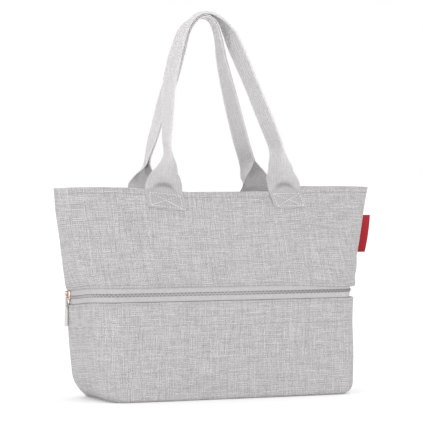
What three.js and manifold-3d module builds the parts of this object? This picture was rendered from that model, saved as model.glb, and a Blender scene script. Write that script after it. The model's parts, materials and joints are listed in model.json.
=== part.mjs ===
// A cloth shopping bag that grows taller when the zip round its middle is undone.
// Millimetres, +Z up. X runs along the length, the front is at -Y, and the origin is the centre of the base
// on the floor.
import * as THREE from "three";
import { mergeVertices } from "three/addons/utils/BufferGeometryUtils.js";
import Module from "manifold-3d";

// Main sizes of the bag
const BASE_HALF_LENGTH = 189.5; // base, end to end, halved
const BASE_HALF_DEPTH = 66;
const ZIP_HALF_LENGTH = 194; // body at the zip
const ZIP_HALF_DEPTH = 68;
const RIM_HALF_LENGTH = 232; // side seam to side seam at the rim, halved
const RIM_CORNER_DEPTH = 4; // half thickness of the pinched side seams at the rim
const RIM_HEIGHT = 277; // rim at the side seams
const RIM_DIP = 5; // the rim hangs lower between the handle feet
const RIM_DIP_INNER = 50; // from the middle out to here by the whole dip
const RIM_DIP_OUTER = 150; // and not at all past here
const BACK_RIM_RISE = 2; // the back rim stands a little higher than the front one
const MOUTH_HALF_OPENING = 40; // mouth, front to back, halved
const ZIP_BULGE = 4; // how far the long walls swell past the corners at the zip
const BASE_BULGE = 1.5;
const CORNER_RADIUS = 36; // upright corners of the body at the zip, seen from above
const BASE_CORNER_RADIUS = 30;
const SEAM_BOW = 0.55; // how much the side seams bow out between the zip and the rim
const ROUND_SHARE = 0.95; // corner radius of the upper part as a share of its corner depth
const ROUND_RISE = 0.3; // share of the way from the zip to the rim where that is reached
const LONG_EDGE_RADIUS = 8; // rounding from wall to base along the long sides
const BACK_CORNER_EDGE_RADIUS = 36; // it grows along the ends towards this at the back corners, which lift
const CLOTH = 2; // wall thickness
const BASE_CLOTH = 2.4;
const SEAM_GAP = 0.2; // each half keeps this far from the middle plane at the side seams
const GAP = 0.35; // clearance between pieces that touch on the bag

// The zip round the middle
const CHAIN_HEIGHT = 141; // middle of the zip chain above the floor
const CHAIN_HALF_WIDTH = 2.4;
const TAPE_THICKNESS = 1.1;
const TAPE_TUCK = 5; // how far each tape runs behind its panel
const LOWER_PANEL_TOP = 130.4;
const UPPER_PANEL_BOTTOM = 148.3;
const CHAIN_INSET = 0.9; // face of the chain behind the face of the panels
const CHAIN_THICKNESS = 2;
const SLIDER_DIP = 7; // the slider's weight drags the zip down at the left end
const SLIDER_ARC = 39; // its place, measured along the zip from the left side seam towards the back
const SLIDER_DIP_SPREAD = 55;

// The webbing of the handles
const WEB_HALF_WIDTH = 25;
const WEB_THICKNESS = 1.6;
const WEB_LAYER_OFFSET = 1; // middle of one folded layer from the middle of the fold
const CLOSED_HALF_ANGLE = THREE.MathUtils.degToRad(0.6);
const WEB_COLUMNS = [1, 0.55, 0.1, 0, -0.1, -0.55, -1]; // places across the webbing, 0 is the fold
const WEB_STEPS_PER_ROW = 3;
const FOOT_GAP = 0.5; // clearance between a sewn foot and its panel
const FOOT_RISE = 1.5; // the webbing lies flat on its panel up to this far above the side seams

// Each row is a section of the webbing: x, distance out from the middle plane and height of its fold line,
// how far it is folded (0 flat, 1 closed), and how far the fold is turned about the upright, in degrees.
// Rows with null as their distance lie on the panel.
const FRONT_HANDLE = [
  { x: -88, out: null, z: 250, fold: 0, turn: 0 },
  { x: -89, out: null, z: 266, fold: 0, turn: 0 },
  { x: -89, out: null, z: 278, fold: 0, turn: 0 },
  { x: -85, out: 36.5, z: 298, fold: 0.42, turn: 0 },
  { x: -79, out: 34, z: 330, fold: 1, turn: 0 },
  { x: -73, out: 31, z: 366, fold: 1, turn: 4 },
  { x: -68.5, out: 28, z: 402, fold: 1, turn: 8 },
  { x: -62.5, out: 23.2, z: 433, fold: 1, turn: 12 },
  { x: -53, out: 18, z: 459, fold: 1, turn: 12 },
  { x: -38, out: 14, z: 490, fold: 1, turn: 10 },
  { x: -13, out: 12.5, z: 507, fold: 1, turn: 8 },
  { x: 15, out: 13.5, z: 494, fold: 1, turn: 14 },
  { x: 36, out: 17, z: 464, fold: 1, turn: 22 },
  { x: 55, out: 25.5, z: 418, fold: 1, turn: 26 },
  { x: 75, out: 30.8, z: 370, fold: 1, turn: 26 },
  { x: 88, out: 33.6, z: 334, fold: 1, turn: 20 },
  { x: 91, out: 36, z: 300, fold: 0.45, turn: 6 },
  { x: 88, out: null, z: 278, fold: 0, turn: 0 },
  { x: 91.5, out: null, z: 266, fold: 0, turn: 0 },
  { x: 96, out: null, z: 250, fold: 0, turn: 0 },
];
const BACK_HANDLE = [
  { x: -81, out: null, z: 252, fold: 0, turn: 0 },
  { x: -81, out: null, z: 266, fold: 0, turn: 0 },
  { x: -81, out: null, z: 280, fold: 0, turn: 0 },
  { x: -83, out: 36.5, z: 300, fold: 0.42, turn: 0 },
  { x: -82, out: 34, z: 332, fold: 1, turn: 0 },
  { x: -74, out: 31.4, z: 368, fold: 1, turn: 2 },
  { x: -66.5, out: 29.2, z: 394, fold: 1, turn: 4 },
  { x: -58, out: 26, z: 420, fold: 1, turn: 4 },
  { x: -46, out: 18.2, z: 455, fold: 1, turn: 2 },
  { x: -33, out: 14.4, z: 483, fold: 1, turn: 4 },
  { x: -14, out: 12.5, z: 500, fold: 1, turn: 8 },
  { x: 1, out: 14, z: 478, fold: 1, turn: 14 },
  { x: 14, out: 21, z: 444, fold: 1, turn: 18 },
  { x: 28, out: 28.6, z: 398, fold: 1, turn: 20 },
  { x: 43, out: 33, z: 342, fold: 1, turn: 20 },
  { x: 62, out: 35.6, z: 311, fold: 0.6, turn: 12 },
  { x: 75, out: 37.5, z: 293, fold: 0.2, turn: 4 },
  { x: 82, out: null, z: 280, fold: 0, turn: 0 },
  { x: 84, out: null, z: 266, fold: 0, turn: 0 },
  { x: 86, out: null, z: 252, fold: 0, turn: 0 },
];

// The flag label in the right side seam
const LABEL_BOTTOM = 189;
const LABEL_TOP = 238;
const LABEL_WIDTH = 14.5;
const LABEL_THICKNESS = 1;
const LABEL_LEAN = THREE.MathUtils.degToRad(35); // turned towards the front
const LABEL_STEPS = 4;
const LABEL_ROWS = 4;

// Slider and pull, in their own frame: x away from the face of the panels, y along the zip, z up
const SLIDER_PLATE = { halfLength: 6.3, halfWidth: 5, low: -1.9, high: 0.5, bevel: 0.5, corner: 1.2 };
const PLATE_WAIST = { noseWidth: 0.7, tailWidth: 0.8, widestAt: 0.3 }; // shares of the half sizes
const SLIDER_BACK = { low: -5.6, high: -4.1 };
const SLIDER_NECK = { halfLength: 4, halfWidth: 2.1, corner: 1 };
const FUSE = 0.4; // pieces of one casting reach this far into each other
const BRIDGE = { halfHeight: 3.7, top: 5.3, bar: 1.4, thickness: 2.6, corner: 1.3, windowCorner: 0.6 };
const WINDOW_LIFT = 0.01; // the window of the bridge starts this far off the plate
const LINK = { x: 2.4, pivot: -0.35, bar: 1.3, thickness: 1.2, drop: 12.2, topHalf: 3.4, bottomHalf: 5.2 };
const LINK_CORNER = { outer: 1.2, inner: 0.5 };
const TAB = { width: 7, wall: 0.9, clear: 0.3, length: 27, thickness: 1.9, corner: 0.6, eyeCorner: 0.5 };
const CURVE_SEGMENTS = 6;
const BEVEL_SEGMENTS = 2;

// Columns along half a section, from the left side seam to the right one
const END_SEGMENTS = 2;
const CORNER_SEGMENTS = 4;
const LONG_SEGMENTS = 16;
const UPPER_ROWS = 7;
const LOWER_WALL_ROWS = 4;
const EDGE_ROWS = 3; // rows on the rounded bottom edge above the base seam
const BASE_ROWS = 2; // rows on the rounded bottom edge below it
const BASE_SEAM_ANGLE = THREE.MathUtils.degToRad(45); // the base seam sits halfway round the bottom edge

const CLOTH_FINISH = { color: 0xbebdbf, roughness: 0.92, metalness: 0 };
const WEB_FINISH = { color: 0xd7d4d5, roughness: 0.85, metalness: 0 };
const TAPE_FINISH = { color: 0xd0d0d0, roughness: 0.85, metalness: 0 };
const CHAIN_FINISH = { color: 0xa0a0a2, roughness: 0.6, metalness: 0 };
const ROSE_GOLD = { color: 0xd9ab97, roughness: 0.3, metalness: 1 };
const PULL_FINISH = { color: 0xc9cbc2, roughness: 0.8, metalness: 0 };
const LABEL_FINISH = { color: 0xbe2332, roughness: 0.7, metalness: 0 };

const wasm = await Module();
wasm.setup();

const { lerp, smoothstep } = THREE.MathUtils;
const QUARTER_TURN = Math.PI / 2;
const SLOPE_PASSES = 6; // enough for the slope of a long wall to settle

// Sizes of the level section at height z: half length, depth at the corners and the middle, corner radius.
function sectionSizes(z) {
  if (z <= UPPER_PANEL_BOTTOM) {
    const t = Math.min(z / LOWER_PANEL_TOP, 1);
    const corner = lerp(BASE_HALF_DEPTH, ZIP_HALF_DEPTH, t);
    return {
      half: lerp(BASE_HALF_LENGTH, ZIP_HALF_LENGTH, t),
      corner,
      middle: corner + lerp(BASE_BULGE, ZIP_BULGE, t),
      radius: lerp(BASE_CORNER_RADIUS, CORNER_RADIUS, t),
    };
  }
  const t = (z - UPPER_PANEL_BOTTOM) / (RIM_HEIGHT - UPPER_PANEL_BOTTOM);
  const corner = Math.max(lerp(ZIP_HALF_DEPTH, RIM_CORNER_DEPTH, t), RIM_CORNER_DEPTH);
  const round = lerp(CORNER_RADIUS / ZIP_HALF_DEPTH, ROUND_SHARE, Math.min(t / ROUND_RISE, 1));
  return {
    half: lerp(ZIP_HALF_LENGTH, RIM_HALF_LENGTH, t + SEAM_BOW * t * (1 - t)),
    corner,
    middle: lerp(ZIP_HALF_DEPTH + ZIP_BULGE, MOUTH_HALF_OPENING, t),
    radius: corner * round,
  };
}

// The long wall of a section: a shallow parabola that leaves each corner along its slope.
function longWall(z) {
  const { half, corner, middle, radius } = sectionSizes(z);
  let slope = 0;
  let end = { x: half - radius, depth: corner };
  for (let pass = 0; pass < SLOPE_PASSES; pass++) {
    slope = Math.atan((2 * (middle - end.depth)) / end.x);
    end = {
      x: half - radius + radius * Math.sin(slope),
      depth: corner - radius + radius * Math.cos(slope),
    };
  }
  return { half, corner, middle, radius, slope, end };
}

// Depth of the outer face of a long wall at x and z, measured from the middle plane.
function wallDepth(x, z) {
  const { middle, end } = longWall(z);
  return SEAM_GAP + middle - (middle - end.depth) * (x / end.x) ** 2;
}

// The half section at height z as points with outward normals, from the left side seam to the right one.
function halfSection(z) {
  const { half, corner, middle, radius, slope, end } = longWall(z);
  const left = [];
  for (let i = 0; i < END_SEGMENTS; i++) {
    left.push({ x: -half, depth: ((corner - radius) * i) / END_SEGMENTS, nx: -1, nd: 0 });
  }
  for (let i = 0; i < CORNER_SEGMENTS; i++) {
    const turn = ((QUARTER_TURN - slope) * i) / CORNER_SEGMENTS;
    const nx = -Math.cos(turn);
    const nd = Math.sin(turn);
    left.push({ x: -half + radius + radius * nx, depth: corner - radius + radius * nd, nx, nd });
  }
  const long = [];
  for (let i = 0; i <= LONG_SEGMENTS; i++) {
    const x = lerp(-end.x, end.x, i / LONG_SEGMENTS);
    const rise = (2 * (middle - end.depth) * x) / end.x ** 2;
    const scale = 1 / Math.hypot(1, rise);
    long.push({ x, depth: middle - (middle - end.depth) * (x / end.x) ** 2, nx: rise * scale, nd: scale });
  }
  const right = left.map((p) => ({ ...p, x: -p.x, nx: -p.nx })).reverse();
  return [...left, ...long, ...right];
}

const COLUMNS = halfSection(CHAIN_HEIGHT).length;

// Distance along the zip from the left side seam to each column.
const ZIP_ARC = halfSection(CHAIN_HEIGHT).reduce((arc, p, i, all) => {
  const before = all[i - 1];
  const step = before ? Math.hypot(p.x - before.x, p.depth - before.depth) : 0;
  return [...arc, (arc[i - 1] ?? 0) + step];
}, []);

// How far the zip hangs down at a column of the front (side -1) or the back (side 1).
function zipDip(column, side) {
  const away = (side * ZIP_ARC[column] - SLIDER_ARC) / SLIDER_DIP_SPREAD;
  return SLIDER_DIP * Math.exp(-away * away);
}

// Height of the rim at the side seams, and at a column.
function seamHeight(side) {
  return side > 0 ? RIM_HEIGHT + BACK_RIM_RISE : RIM_HEIGHT;
}

function rimHeight(column, side) {
  const x = Math.abs(halfSection(RIM_HEIGHT)[column].x);
  return seamHeight(side) - RIM_DIP * (1 - smoothstep(x, RIM_DIP_INNER, RIM_DIP_OUTER));
}

// A point of the wall at a column and a height, set in from the outer face and let down by what the slider
// drags.
function wallPoint(column, height, side, inset, drop = 0, seamGap = SEAM_GAP) {
  const p = halfSection(height)[column];
  const depth = p.depth - inset * p.nd;
  return new THREE.Vector3(p.x - inset * p.nx, side * (depth + seamGap), height - drop);
}

// Radius of the rounded bottom edge at a column.
function edgeRadius(column, side) {
  const { nx, depth } = halfSection(0)[column];
  const towardsBack = (BASE_HALF_DEPTH + side * depth) / (2 * BASE_HALF_DEPTH);
  return lerp(LONG_EDGE_RADIUS, BACK_CORNER_EDGE_RADIUS, Math.abs(nx) * towardsBack);
}

// A point on the rounded bottom edge: angle 0 is on the floor, a quarter turn is at the foot of the wall.
function edgePoint(column, angle, side, thickness, seamGap = SEAM_GAP) {
  const radius = edgeRadius(column, side);
  const reach = radius - thickness;
  const point = wallPoint(column, radius, side, radius - reach * Math.sin(angle), 0, seamGap);
  point.z = radius - reach * Math.cos(angle);
  return point;
}

// A closed body between two grids of points, columns first. Columns run left to right and rows upwards, seen
// from outside. A loop joins its last column to its first. Centres close the lowest row in place of an edge.
function shell(outer, inner, { loop = false, flip = false, centres = null } = {}) {
  const columns = outer.length;
  const rows = outer[0].length;
  const points = [...outer.flat(), ...inner.flat(), ...(centres ?? [])];
  const out = (i, j) => (i % columns) * rows + j;
  const back = (i, j) => columns * rows + out(i, j);
  const faces = [];
  const quad = (a, b, c, d) => faces.push([a, b, c], [a, c, d]);
  const spans = loop ? columns : columns - 1;
  const top = rows - 1;
  for (let i = 0; i < spans; i++) {
    for (let j = 0; j < top; j++) {
      quad(out(i, j), out(i + 1, j), out(i + 1, j + 1), out(i, j + 1));
      quad(back(i, j), back(i, j + 1), back(i + 1, j + 1), back(i + 1, j));
    }
    quad(out(i, top), out(i + 1, top), back(i + 1, top), back(i, top));
    if (centres) {
      const middle = 2 * columns * rows;
      faces.push([middle, out(i + 1, 0), out(i, 0)], [middle + 1, back(i, 0), back(i + 1, 0)]);
    } else {
      quad(back(i, 0), back(i + 1, 0), out(i + 1, 0), out(i, 0));
    }
  }
  if (!loop) {
    for (let j = 0; j < top; j++) {
      quad(back(0, j), out(0, j), out(0, j + 1), back(0, j + 1));
      quad(out(spans, j), back(spans, j), back(spans, j + 1), out(spans, j + 1));
    }
  }
  const geometry = new THREE.BufferGeometry().setFromPoints(points);
  geometry.setIndex(faces.flatMap(([a, b, c]) => (flip ? [a, c, b] : [a, b, c])));
  return geometry;
}

function piece(name, geometry, finish) {
  geometry.computeVertexNormals();
  const mesh = new THREE.Mesh(geometry, new THREE.MeshStandardMaterial(finish));
  mesh.name = name;
  return mesh;
}

const everyColumn = [...Array(COLUMNS).keys()];

// The wall above the zip, from the zip to the rim.
function upperPanel(name, side) {
  const grid = (inset) =>
    everyColumn.map((column) => {
      const high = rimHeight(column, side);
      return [...Array(UPPER_ROWS + 1).keys()].map((row) => {
        const share = row / UPPER_ROWS;
        const height = lerp(UPPER_PANEL_BOTTOM, high, share);
        return wallPoint(column, height, side, inset, zipDip(column, side) * (1 - share));
      });
    });
  return piece(name, shell(grid(0), grid(CLOTH), { flip: side > 0 }), CLOTH_FINISH);
}

// The wall below the zip, from the base seam round the bottom edge and up to the zip.
function lowerPanel(name, side) {
  const grid = (thickness) =>
    everyColumn.map((column) => {
      const edge = [...Array(EDGE_ROWS + 1).keys()].map((row) =>
        edgePoint(column, lerp(BASE_SEAM_ANGLE, QUARTER_TURN, row / EDGE_ROWS), side, thickness),
      );
      const wall = [...Array(LOWER_WALL_ROWS).keys()].map((row) => {
        const share = (row + 1) / LOWER_WALL_ROWS;
        const height = lerp(edgeRadius(column, side), LOWER_PANEL_TOP, share);
        return wallPoint(column, height, side, thickness, zipDip(column, side) * share);
      });
      return [...edge, ...wall];
    });
  return piece(name, shell(grid(0), grid(CLOTH), { flip: side > 0 }), CLOTH_FINISH);
}

// Columns of a closed ring: along the front to the right side seam, and back along the back.
const ringColumns = [
  ...everyColumn.map((column) => ({ column, side: -1 })),
  ...everyColumn.slice(1, -1).reverse().map((column) => ({ column, side: 1 })),
];

// The two side seams lie in the middle plane, so a ring has one point there.
function ringGap(column) {
  return column === 0 || column === COLUMNS - 1 ? 0 : SEAM_GAP;
}

// The base: flat on the floor, turned up at its edge to meet the lower panels at the base seam.
function basePanel() {
  const grid = (thickness) =>
    ringColumns.map(({ column, side }) => {
      const top = BASE_SEAM_ANGLE - GAP / edgeRadius(column, side);
      return [...Array(BASE_ROWS + 1).keys()].map((row) =>
        edgePoint(column, (top * row) / BASE_ROWS, side, thickness, ringGap(column)),
      );
    });
  const centres = [new THREE.Vector3(0, 0, 0), new THREE.Vector3(0, 0, BASE_CLOTH)];
  return piece("base_panel", shell(grid(0), grid(BASE_CLOTH), { loop: true, centres }), CLOTH_FINISH);
}

// A band round the bag at the zip, through a list of heights and between two insets.
function zipBand(columns, heights, inset, thickness, loop) {
  const grid = (depth) =>
    columns.map(({ column, side }) => {
      const dip = zipDip(column, side);
      return heights.map((height) => wallPoint(column, height, side, depth, dip, ringGap(column)));
    });
  return shell(grid(inset), grid(inset + thickness), { loop });
}

const tapeInset = CLOTH + GAP;
const tapeEdge = CHAIN_HALF_WIDTH + GAP;

function upperTape() {
  const heights = [CHAIN_HEIGHT + tapeEdge, UPPER_PANEL_BOTTOM, UPPER_PANEL_BOTTOM + TAPE_TUCK];
  const band = zipBand(ringColumns, heights, tapeInset, TAPE_THICKNESS, true);
  return piece("zip_tape_upper", band, TAPE_FINISH);
}

function lowerTape() {
  const heights = [LOWER_PANEL_TOP - TAPE_TUCK, LOWER_PANEL_TOP, CHAIN_HEIGHT - tapeEdge];
  const band = zipBand(ringColumns, heights, tapeInset, TAPE_THICKNESS, true);
  return piece("zip_tape_lower", band, TAPE_FINISH);
}

// The chain runs round the bag and stops on both sides of the slider, which fills one span of the corner.
const sliderColumn = END_SEGMENTS;

function zipChain() {
  const start = ringColumns.length - sliderColumn;
  const open = [...ringColumns.slice(start), ...ringColumns.slice(0, start)];
  const heights = [CHAIN_HEIGHT - CHAIN_HALF_WIDTH, CHAIN_HEIGHT + CHAIN_HALF_WIDTH];
  return piece("zip_chain", zipBand(open, heights, CHAIN_INSET, CHAIN_THICKNESS, false), CHAIN_FINISH);
}

// A handle: one length of webbing, flat where it is sewn on and folded in half along its middle above that.
function handle(name, rows, side) {
  const reach = (x, z) => wallDepth(x, z) + FOOT_GAP + WEB_THICKNESS / 2;
  const footTop = seamHeight(side) + FOOT_RISE;
  const spine = rows.map(({ x, out, z }) => new THREE.Vector3(x, side * (out ?? reach(x, z)), z));
  const curve = new THREE.CatmullRomCurve3(spine, false, "centripetal");
  const last = rows.length - 1;
  const steps = last * WEB_STEPS_PER_ROW;
  const outer = WEB_COLUMNS.map(() => []);
  const inner = WEB_COLUMNS.map(() => []);
  for (let step = 0; step <= steps; step++) {
    const t = step / steps;
    const row = Math.min(Math.floor(t * last), last - 1);
    const part = t * last - row;
    const fold = lerp(rows[row].fold, rows[row + 1].fold, part);
    const turn = THREE.MathUtils.degToRad(lerp(rows[row].turn, rows[row + 1].turn, part));
    const angle = lerp(QUARTER_TURN, CLOSED_HALF_ANGLE, fold);
    const along = curve.getTangent(t);
    const into = new THREE.Vector3(side * Math.sin(turn), -side * Math.cos(turn), 0);
    into.addScaledVector(along, -into.dot(along)).normalize();
    const across = along.clone().cross(into);
    const origin = curve.getPoint(t);
    const middle = WEB_COLUMNS.map((u) => {
      const leg = Math.abs(u) * WEB_HALF_WIDTH;
      const spread = leg * Math.sin(angle) + (u === 0 ? 0 : WEB_LAYER_OFFSET * Math.cos(angle));
      const point = origin.clone().addScaledVector(into, leg * Math.cos(angle));
      point.addScaledVector(across, Math.sign(u) * spread);
      if (point.z <= footTop) {
        point.y = side * reach(point.x, point.z);
      }
      return point;
    });
    middle.forEach((point, i) => {
      const before = middle[Math.max(i - 1, 0)];
      const after = middle[Math.min(i + 1, middle.length - 1)];
      const normal = after.clone().sub(before).cross(along).normalize();
      outer[i].push(point.clone().addScaledVector(normal, WEB_THICKNESS / 2));
      inner[i].push(point.clone().addScaledVector(normal, -WEB_THICKNESS / 2));
    });
  }
  return piece(name, shell(outer, inner), WEB_FINISH);
}

// A short folded ribbon caught in the right side seam, standing out and leaning to the front.
function sideLabel() {
  const place = (share, z, offset) => {
    const lean = LABEL_LEAN * share;
    const seam = sectionSizes(z).half + GAP;
    const x = seam + LABEL_WIDTH * share * Math.cos(lean / 2) + offset * Math.sin(lean);
    const y = -LABEL_WIDTH * share * Math.sin(lean / 2) + offset * Math.cos(lean);
    return new THREE.Vector3(x, y, z);
  };
  const shares = (count) => [...Array(count + 1).keys()].map((step) => step / count);
  const heights = shares(LABEL_ROWS).map((share) => lerp(LABEL_BOTTOM, LABEL_TOP, share));
  const grid = (offset) => shares(LABEL_STEPS).map((share) => heights.map((z) => place(share, z, offset)));
  const half = LABEL_THICKNESS / 2;
  return piece("side_label", shell(grid(-half), grid(half)), LABEL_FINISH);
}

// Booleans for the slider, which is one casting.
function solid(geometry) {
  const bare = geometry.clone();
  bare.deleteAttribute("normal");
  bare.deleteAttribute("uv");
  const merged = mergeVertices(bare);
  return new wasm.Manifold(
    new wasm.Mesh({
      numProp: 3,
      vertProperties: merged.attributes.position.array,
      triVerts: new Uint32Array(merged.index.array),
    }),
  );
}

function geometryOf(manifold) {
  const mesh = manifold.getMesh();
  const geometry = new THREE.BufferGeometry();
  geometry.setAttribute("position", new THREE.BufferAttribute(mesh.vertProperties, 3));
  geometry.setIndex(new THREE.BufferAttribute(mesh.triVerts, 1));
  return geometry;
}

// Extrudes an outline drawn along the zip (y) and up (z) from one distance off the bag to another.
function plate(shape, low, high, bevel = 0) {
  const geometry = new THREE.ExtrudeGeometry(shape, {
    depth: high - low - 2 * bevel,
    bevelEnabled: bevel > 0,
    bevelThickness: bevel,
    bevelSize: bevel,
    bevelOffset: -bevel,
    bevelSegments: BEVEL_SEGMENTS,
    curveSegments: CURVE_SEGMENTS,
  });
  geometry.rotateX(QUARTER_TURN);
  geometry.rotateZ(QUARTER_TURN);
  geometry.translate(low + bevel, 0, 0);
  return geometry;
}

// Extrudes an outline drawn away from the bag (x) and up (z), centred along the zip.
function rib(shape, width) {
  const geometry = new THREE.ExtrudeGeometry(shape, {
    depth: width,
    bevelEnabled: false,
    curveSegments: CURVE_SEGMENTS,
  });
  geometry.rotateX(QUARTER_TURN);
  geometry.translate(0, width / 2, 0);
  return geometry;
}

// A shape whose corners are all rounded.
function roundedShape(Kind, corners, radius) {
  const shape = new Kind();
  corners.forEach((corner, i) => {
    const before = corners[(i + corners.length - 1) % corners.length];
    const after = corners[(i + 1) % corners.length];
    const enter = corner.clone().lerp(before, radius / corner.distanceTo(before));
    const leave = corner.clone().lerp(after, radius / corner.distanceTo(after));
    if (i === 0) {
      shape.moveTo(enter.x, enter.y);
    } else {
      shape.lineTo(enter.x, enter.y);
    }
    shape.quadraticCurveTo(corner.x, corner.y, leave.x, leave.y);
  });
  shape.closePath();
  return shape;
}

function rectangle(x0, y0, x1, y1) {
  return [
    new THREE.Vector2(x0, y0),
    new THREE.Vector2(x1, y0),
    new THREE.Vector2(x1, y1),
    new THREE.Vector2(x0, y1),
  ];
}

// The slider: a plate in front of the tapes, one behind them, a neck between, and a bridge for the pull.
function zipSlider() {
  const { halfLength, halfWidth, low, high, bevel, corner } = SLIDER_PLATE;
  const { noseWidth, tailWidth, widestAt } = PLATE_WAIST;
  const outline = [
    new THREE.Vector2(-halfLength, -halfWidth * noseWidth),
    new THREE.Vector2(halfLength * widestAt, -halfWidth),
    new THREE.Vector2(halfLength, -halfWidth * tailWidth),
    new THREE.Vector2(halfLength, halfWidth * tailWidth),
    new THREE.Vector2(halfLength * widestAt, halfWidth),
    new THREE.Vector2(-halfLength, halfWidth * noseWidth),
  ];
  const face = roundedShape(THREE.Shape, outline, corner);
  const neck = roundedShape(
    THREE.Shape,
    rectangle(-SLIDER_NECK.halfLength, -SLIDER_NECK.halfWidth, SLIDER_NECK.halfLength, SLIDER_NECK.halfWidth),
    SLIDER_NECK.corner,
  );
  const arch = roundedShape(
    THREE.Shape,
    rectangle(high - FUSE, -BRIDGE.halfHeight, BRIDGE.top, BRIDGE.halfHeight),
    BRIDGE.corner,
  );
  const windowHalf = BRIDGE.halfHeight - BRIDGE.bar;
  const window = rectangle(high + WINDOW_LIFT, -windowHalf, BRIDGE.top - BRIDGE.bar, windowHalf);
  arch.holes.push(roundedShape(THREE.Path, window, BRIDGE.windowCorner));
  const body = solid(plate(face, low, high, bevel))
    .add(solid(plate(face, SLIDER_BACK.low, SLIDER_BACK.high)))
    .add(solid(plate(neck, SLIDER_BACK.high - FUSE, low + FUSE)))
    .add(solid(rib(arch, BRIDGE.thickness)));
  return piece("zip_slider", geometryOf(body), ROSE_GOLD);
}

// The wire link that hangs in the bridge: a frame that widens towards the tab.
function pullLink() {
  const { x, pivot, bar, thickness, drop, topHalf, bottomHalf } = LINK;
  const top = pivot + bar / 2;
  const corners = (margin) => [
    new THREE.Vector2(-topHalf + margin, top - margin),
    new THREE.Vector2(-bottomHalf + margin, top - drop + margin),
    new THREE.Vector2(bottomHalf - margin, top - drop + margin),
    new THREE.Vector2(topHalf - margin, top - margin),
  ];
  const frame = roundedShape(THREE.Shape, corners(0), LINK_CORNER.outer);
  frame.holes.push(roundedShape(THREE.Path, corners(bar), LINK_CORNER.inner));
  return piece("pull_link", plate(frame, x - thickness / 2, x + thickness / 2), ROSE_GOLD);
}

// The tab: a ribbon folded round the lower bar of the link.
function pullTab() {
  const { x, pivot, bar, thickness, drop } = LINK;
  const barLow = pivot + bar / 2 - drop;
  const eye = rectangle(
    x - thickness / 2 - TAB.clear,
    barLow - TAB.clear,
    x + thickness / 2 + TAB.clear,
    barLow + bar + TAB.clear,
  );
  const [lowLeft, , highRight] = eye;
  const bottom = barLow - TAB.length;
  const half = TAB.thickness / 2;
  const shoulder = lowLeft.y - 2 * TAB.wall;
  const outline = [
    new THREE.Vector2(x - half, bottom),
    new THREE.Vector2(x + half, bottom),
    new THREE.Vector2(x + half, shoulder),
    new THREE.Vector2(highRight.x + TAB.wall, lowLeft.y),
    new THREE.Vector2(highRight.x + TAB.wall, highRight.y + TAB.wall),
    new THREE.Vector2(lowLeft.x - TAB.wall, highRight.y + TAB.wall),
    new THREE.Vector2(lowLeft.x - TAB.wall, lowLeft.y),
    new THREE.Vector2(x - half, shoulder),
  ];
  const ribbon = roundedShape(THREE.Shape, outline, TAB.corner);
  ribbon.holes.push(roundedShape(THREE.Path, eye, TAB.eyeCorner));
  return piece("pull_tab", rib(ribbon, TAB.width), PULL_FINISH);
}

// The slider sits on the span of the zip between two columns of the back-left corner.
function sliderGroup() {
  const [from, to] = [sliderColumn, sliderColumn + 1].map((column) =>
    wallPoint(column, CHAIN_HEIGHT, 1, 0, zipDip(column, 1)),
  );
  const group = new THREE.Group();
  group.position.copy(from).lerp(to, 0.5);
  group.rotation.z = Math.atan2(to.y - from.y, to.x - from.x) + QUARTER_TURN;
  group.add(zipSlider(), pullLink(), pullTab());
  return group;
}

const group = new THREE.Group();
group.add(
  basePanel(),
  lowerPanel("lower_front_panel", -1),
  lowerPanel("lower_back_panel", 1),
  upperPanel("upper_front_panel", -1),
  upperPanel("upper_back_panel", 1),
  lowerTape(),
  upperTape(),
  zipChain(),
  sliderGroup(),
  handle("handle_front", FRONT_HANDLE, -1),
  handle("handle_back", BACK_HANDLE, 1),
  sideLabel(),
);

export default group;
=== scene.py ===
# %% [markdown]
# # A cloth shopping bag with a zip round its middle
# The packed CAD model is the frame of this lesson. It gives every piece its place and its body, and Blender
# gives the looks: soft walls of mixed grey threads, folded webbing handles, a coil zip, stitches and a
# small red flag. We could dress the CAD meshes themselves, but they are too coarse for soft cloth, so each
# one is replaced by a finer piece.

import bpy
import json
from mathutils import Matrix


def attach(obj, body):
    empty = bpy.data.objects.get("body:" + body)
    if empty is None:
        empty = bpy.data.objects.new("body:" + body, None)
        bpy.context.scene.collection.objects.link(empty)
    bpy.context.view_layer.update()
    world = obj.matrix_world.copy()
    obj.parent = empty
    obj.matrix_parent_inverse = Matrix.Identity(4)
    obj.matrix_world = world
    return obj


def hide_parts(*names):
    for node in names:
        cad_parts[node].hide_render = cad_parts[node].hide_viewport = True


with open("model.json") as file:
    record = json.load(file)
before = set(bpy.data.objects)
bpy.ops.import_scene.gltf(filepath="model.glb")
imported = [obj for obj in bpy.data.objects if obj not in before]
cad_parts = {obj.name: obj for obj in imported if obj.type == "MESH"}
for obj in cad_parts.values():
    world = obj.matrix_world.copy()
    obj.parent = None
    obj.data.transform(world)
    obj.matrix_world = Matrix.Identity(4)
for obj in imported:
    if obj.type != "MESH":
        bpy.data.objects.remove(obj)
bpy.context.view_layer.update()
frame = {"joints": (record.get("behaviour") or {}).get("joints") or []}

# %% [markdown]
# ## The camera
# A long lens stands a little to the left of the front and just above the rim, so the bag shows its front
# and a narrow strip of its left end. A camera can be placed by eye, but then every edge is a little off.
# This one was found by fitting the rim, the zip and the base to the photograph, and its numbers are kept
# here. Depth of field stays off, because the other views use the same camera.

# %% Camera at the photograph's angle
import json
import math

import bmesh
import bpy
import numpy as np
from mathutils import Vector

IMAGE_SIDE = 423  # pixels
FOCAL_PIXELS = 2870.7
SENSOR_WIDTH = 36  # millimetres
VIEW_TURN = math.radians(26.24)  # how far round to the left of the front the camera stands
CAMERA_REACH = 3.821  # metres from the upright through the origin
CAMERA_HEIGHT = 0.3177
CAMERA_DIP = math.radians(1.09)
AXIS_COLUMN = 213.0  # image column that the camera's own axis falls on

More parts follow.
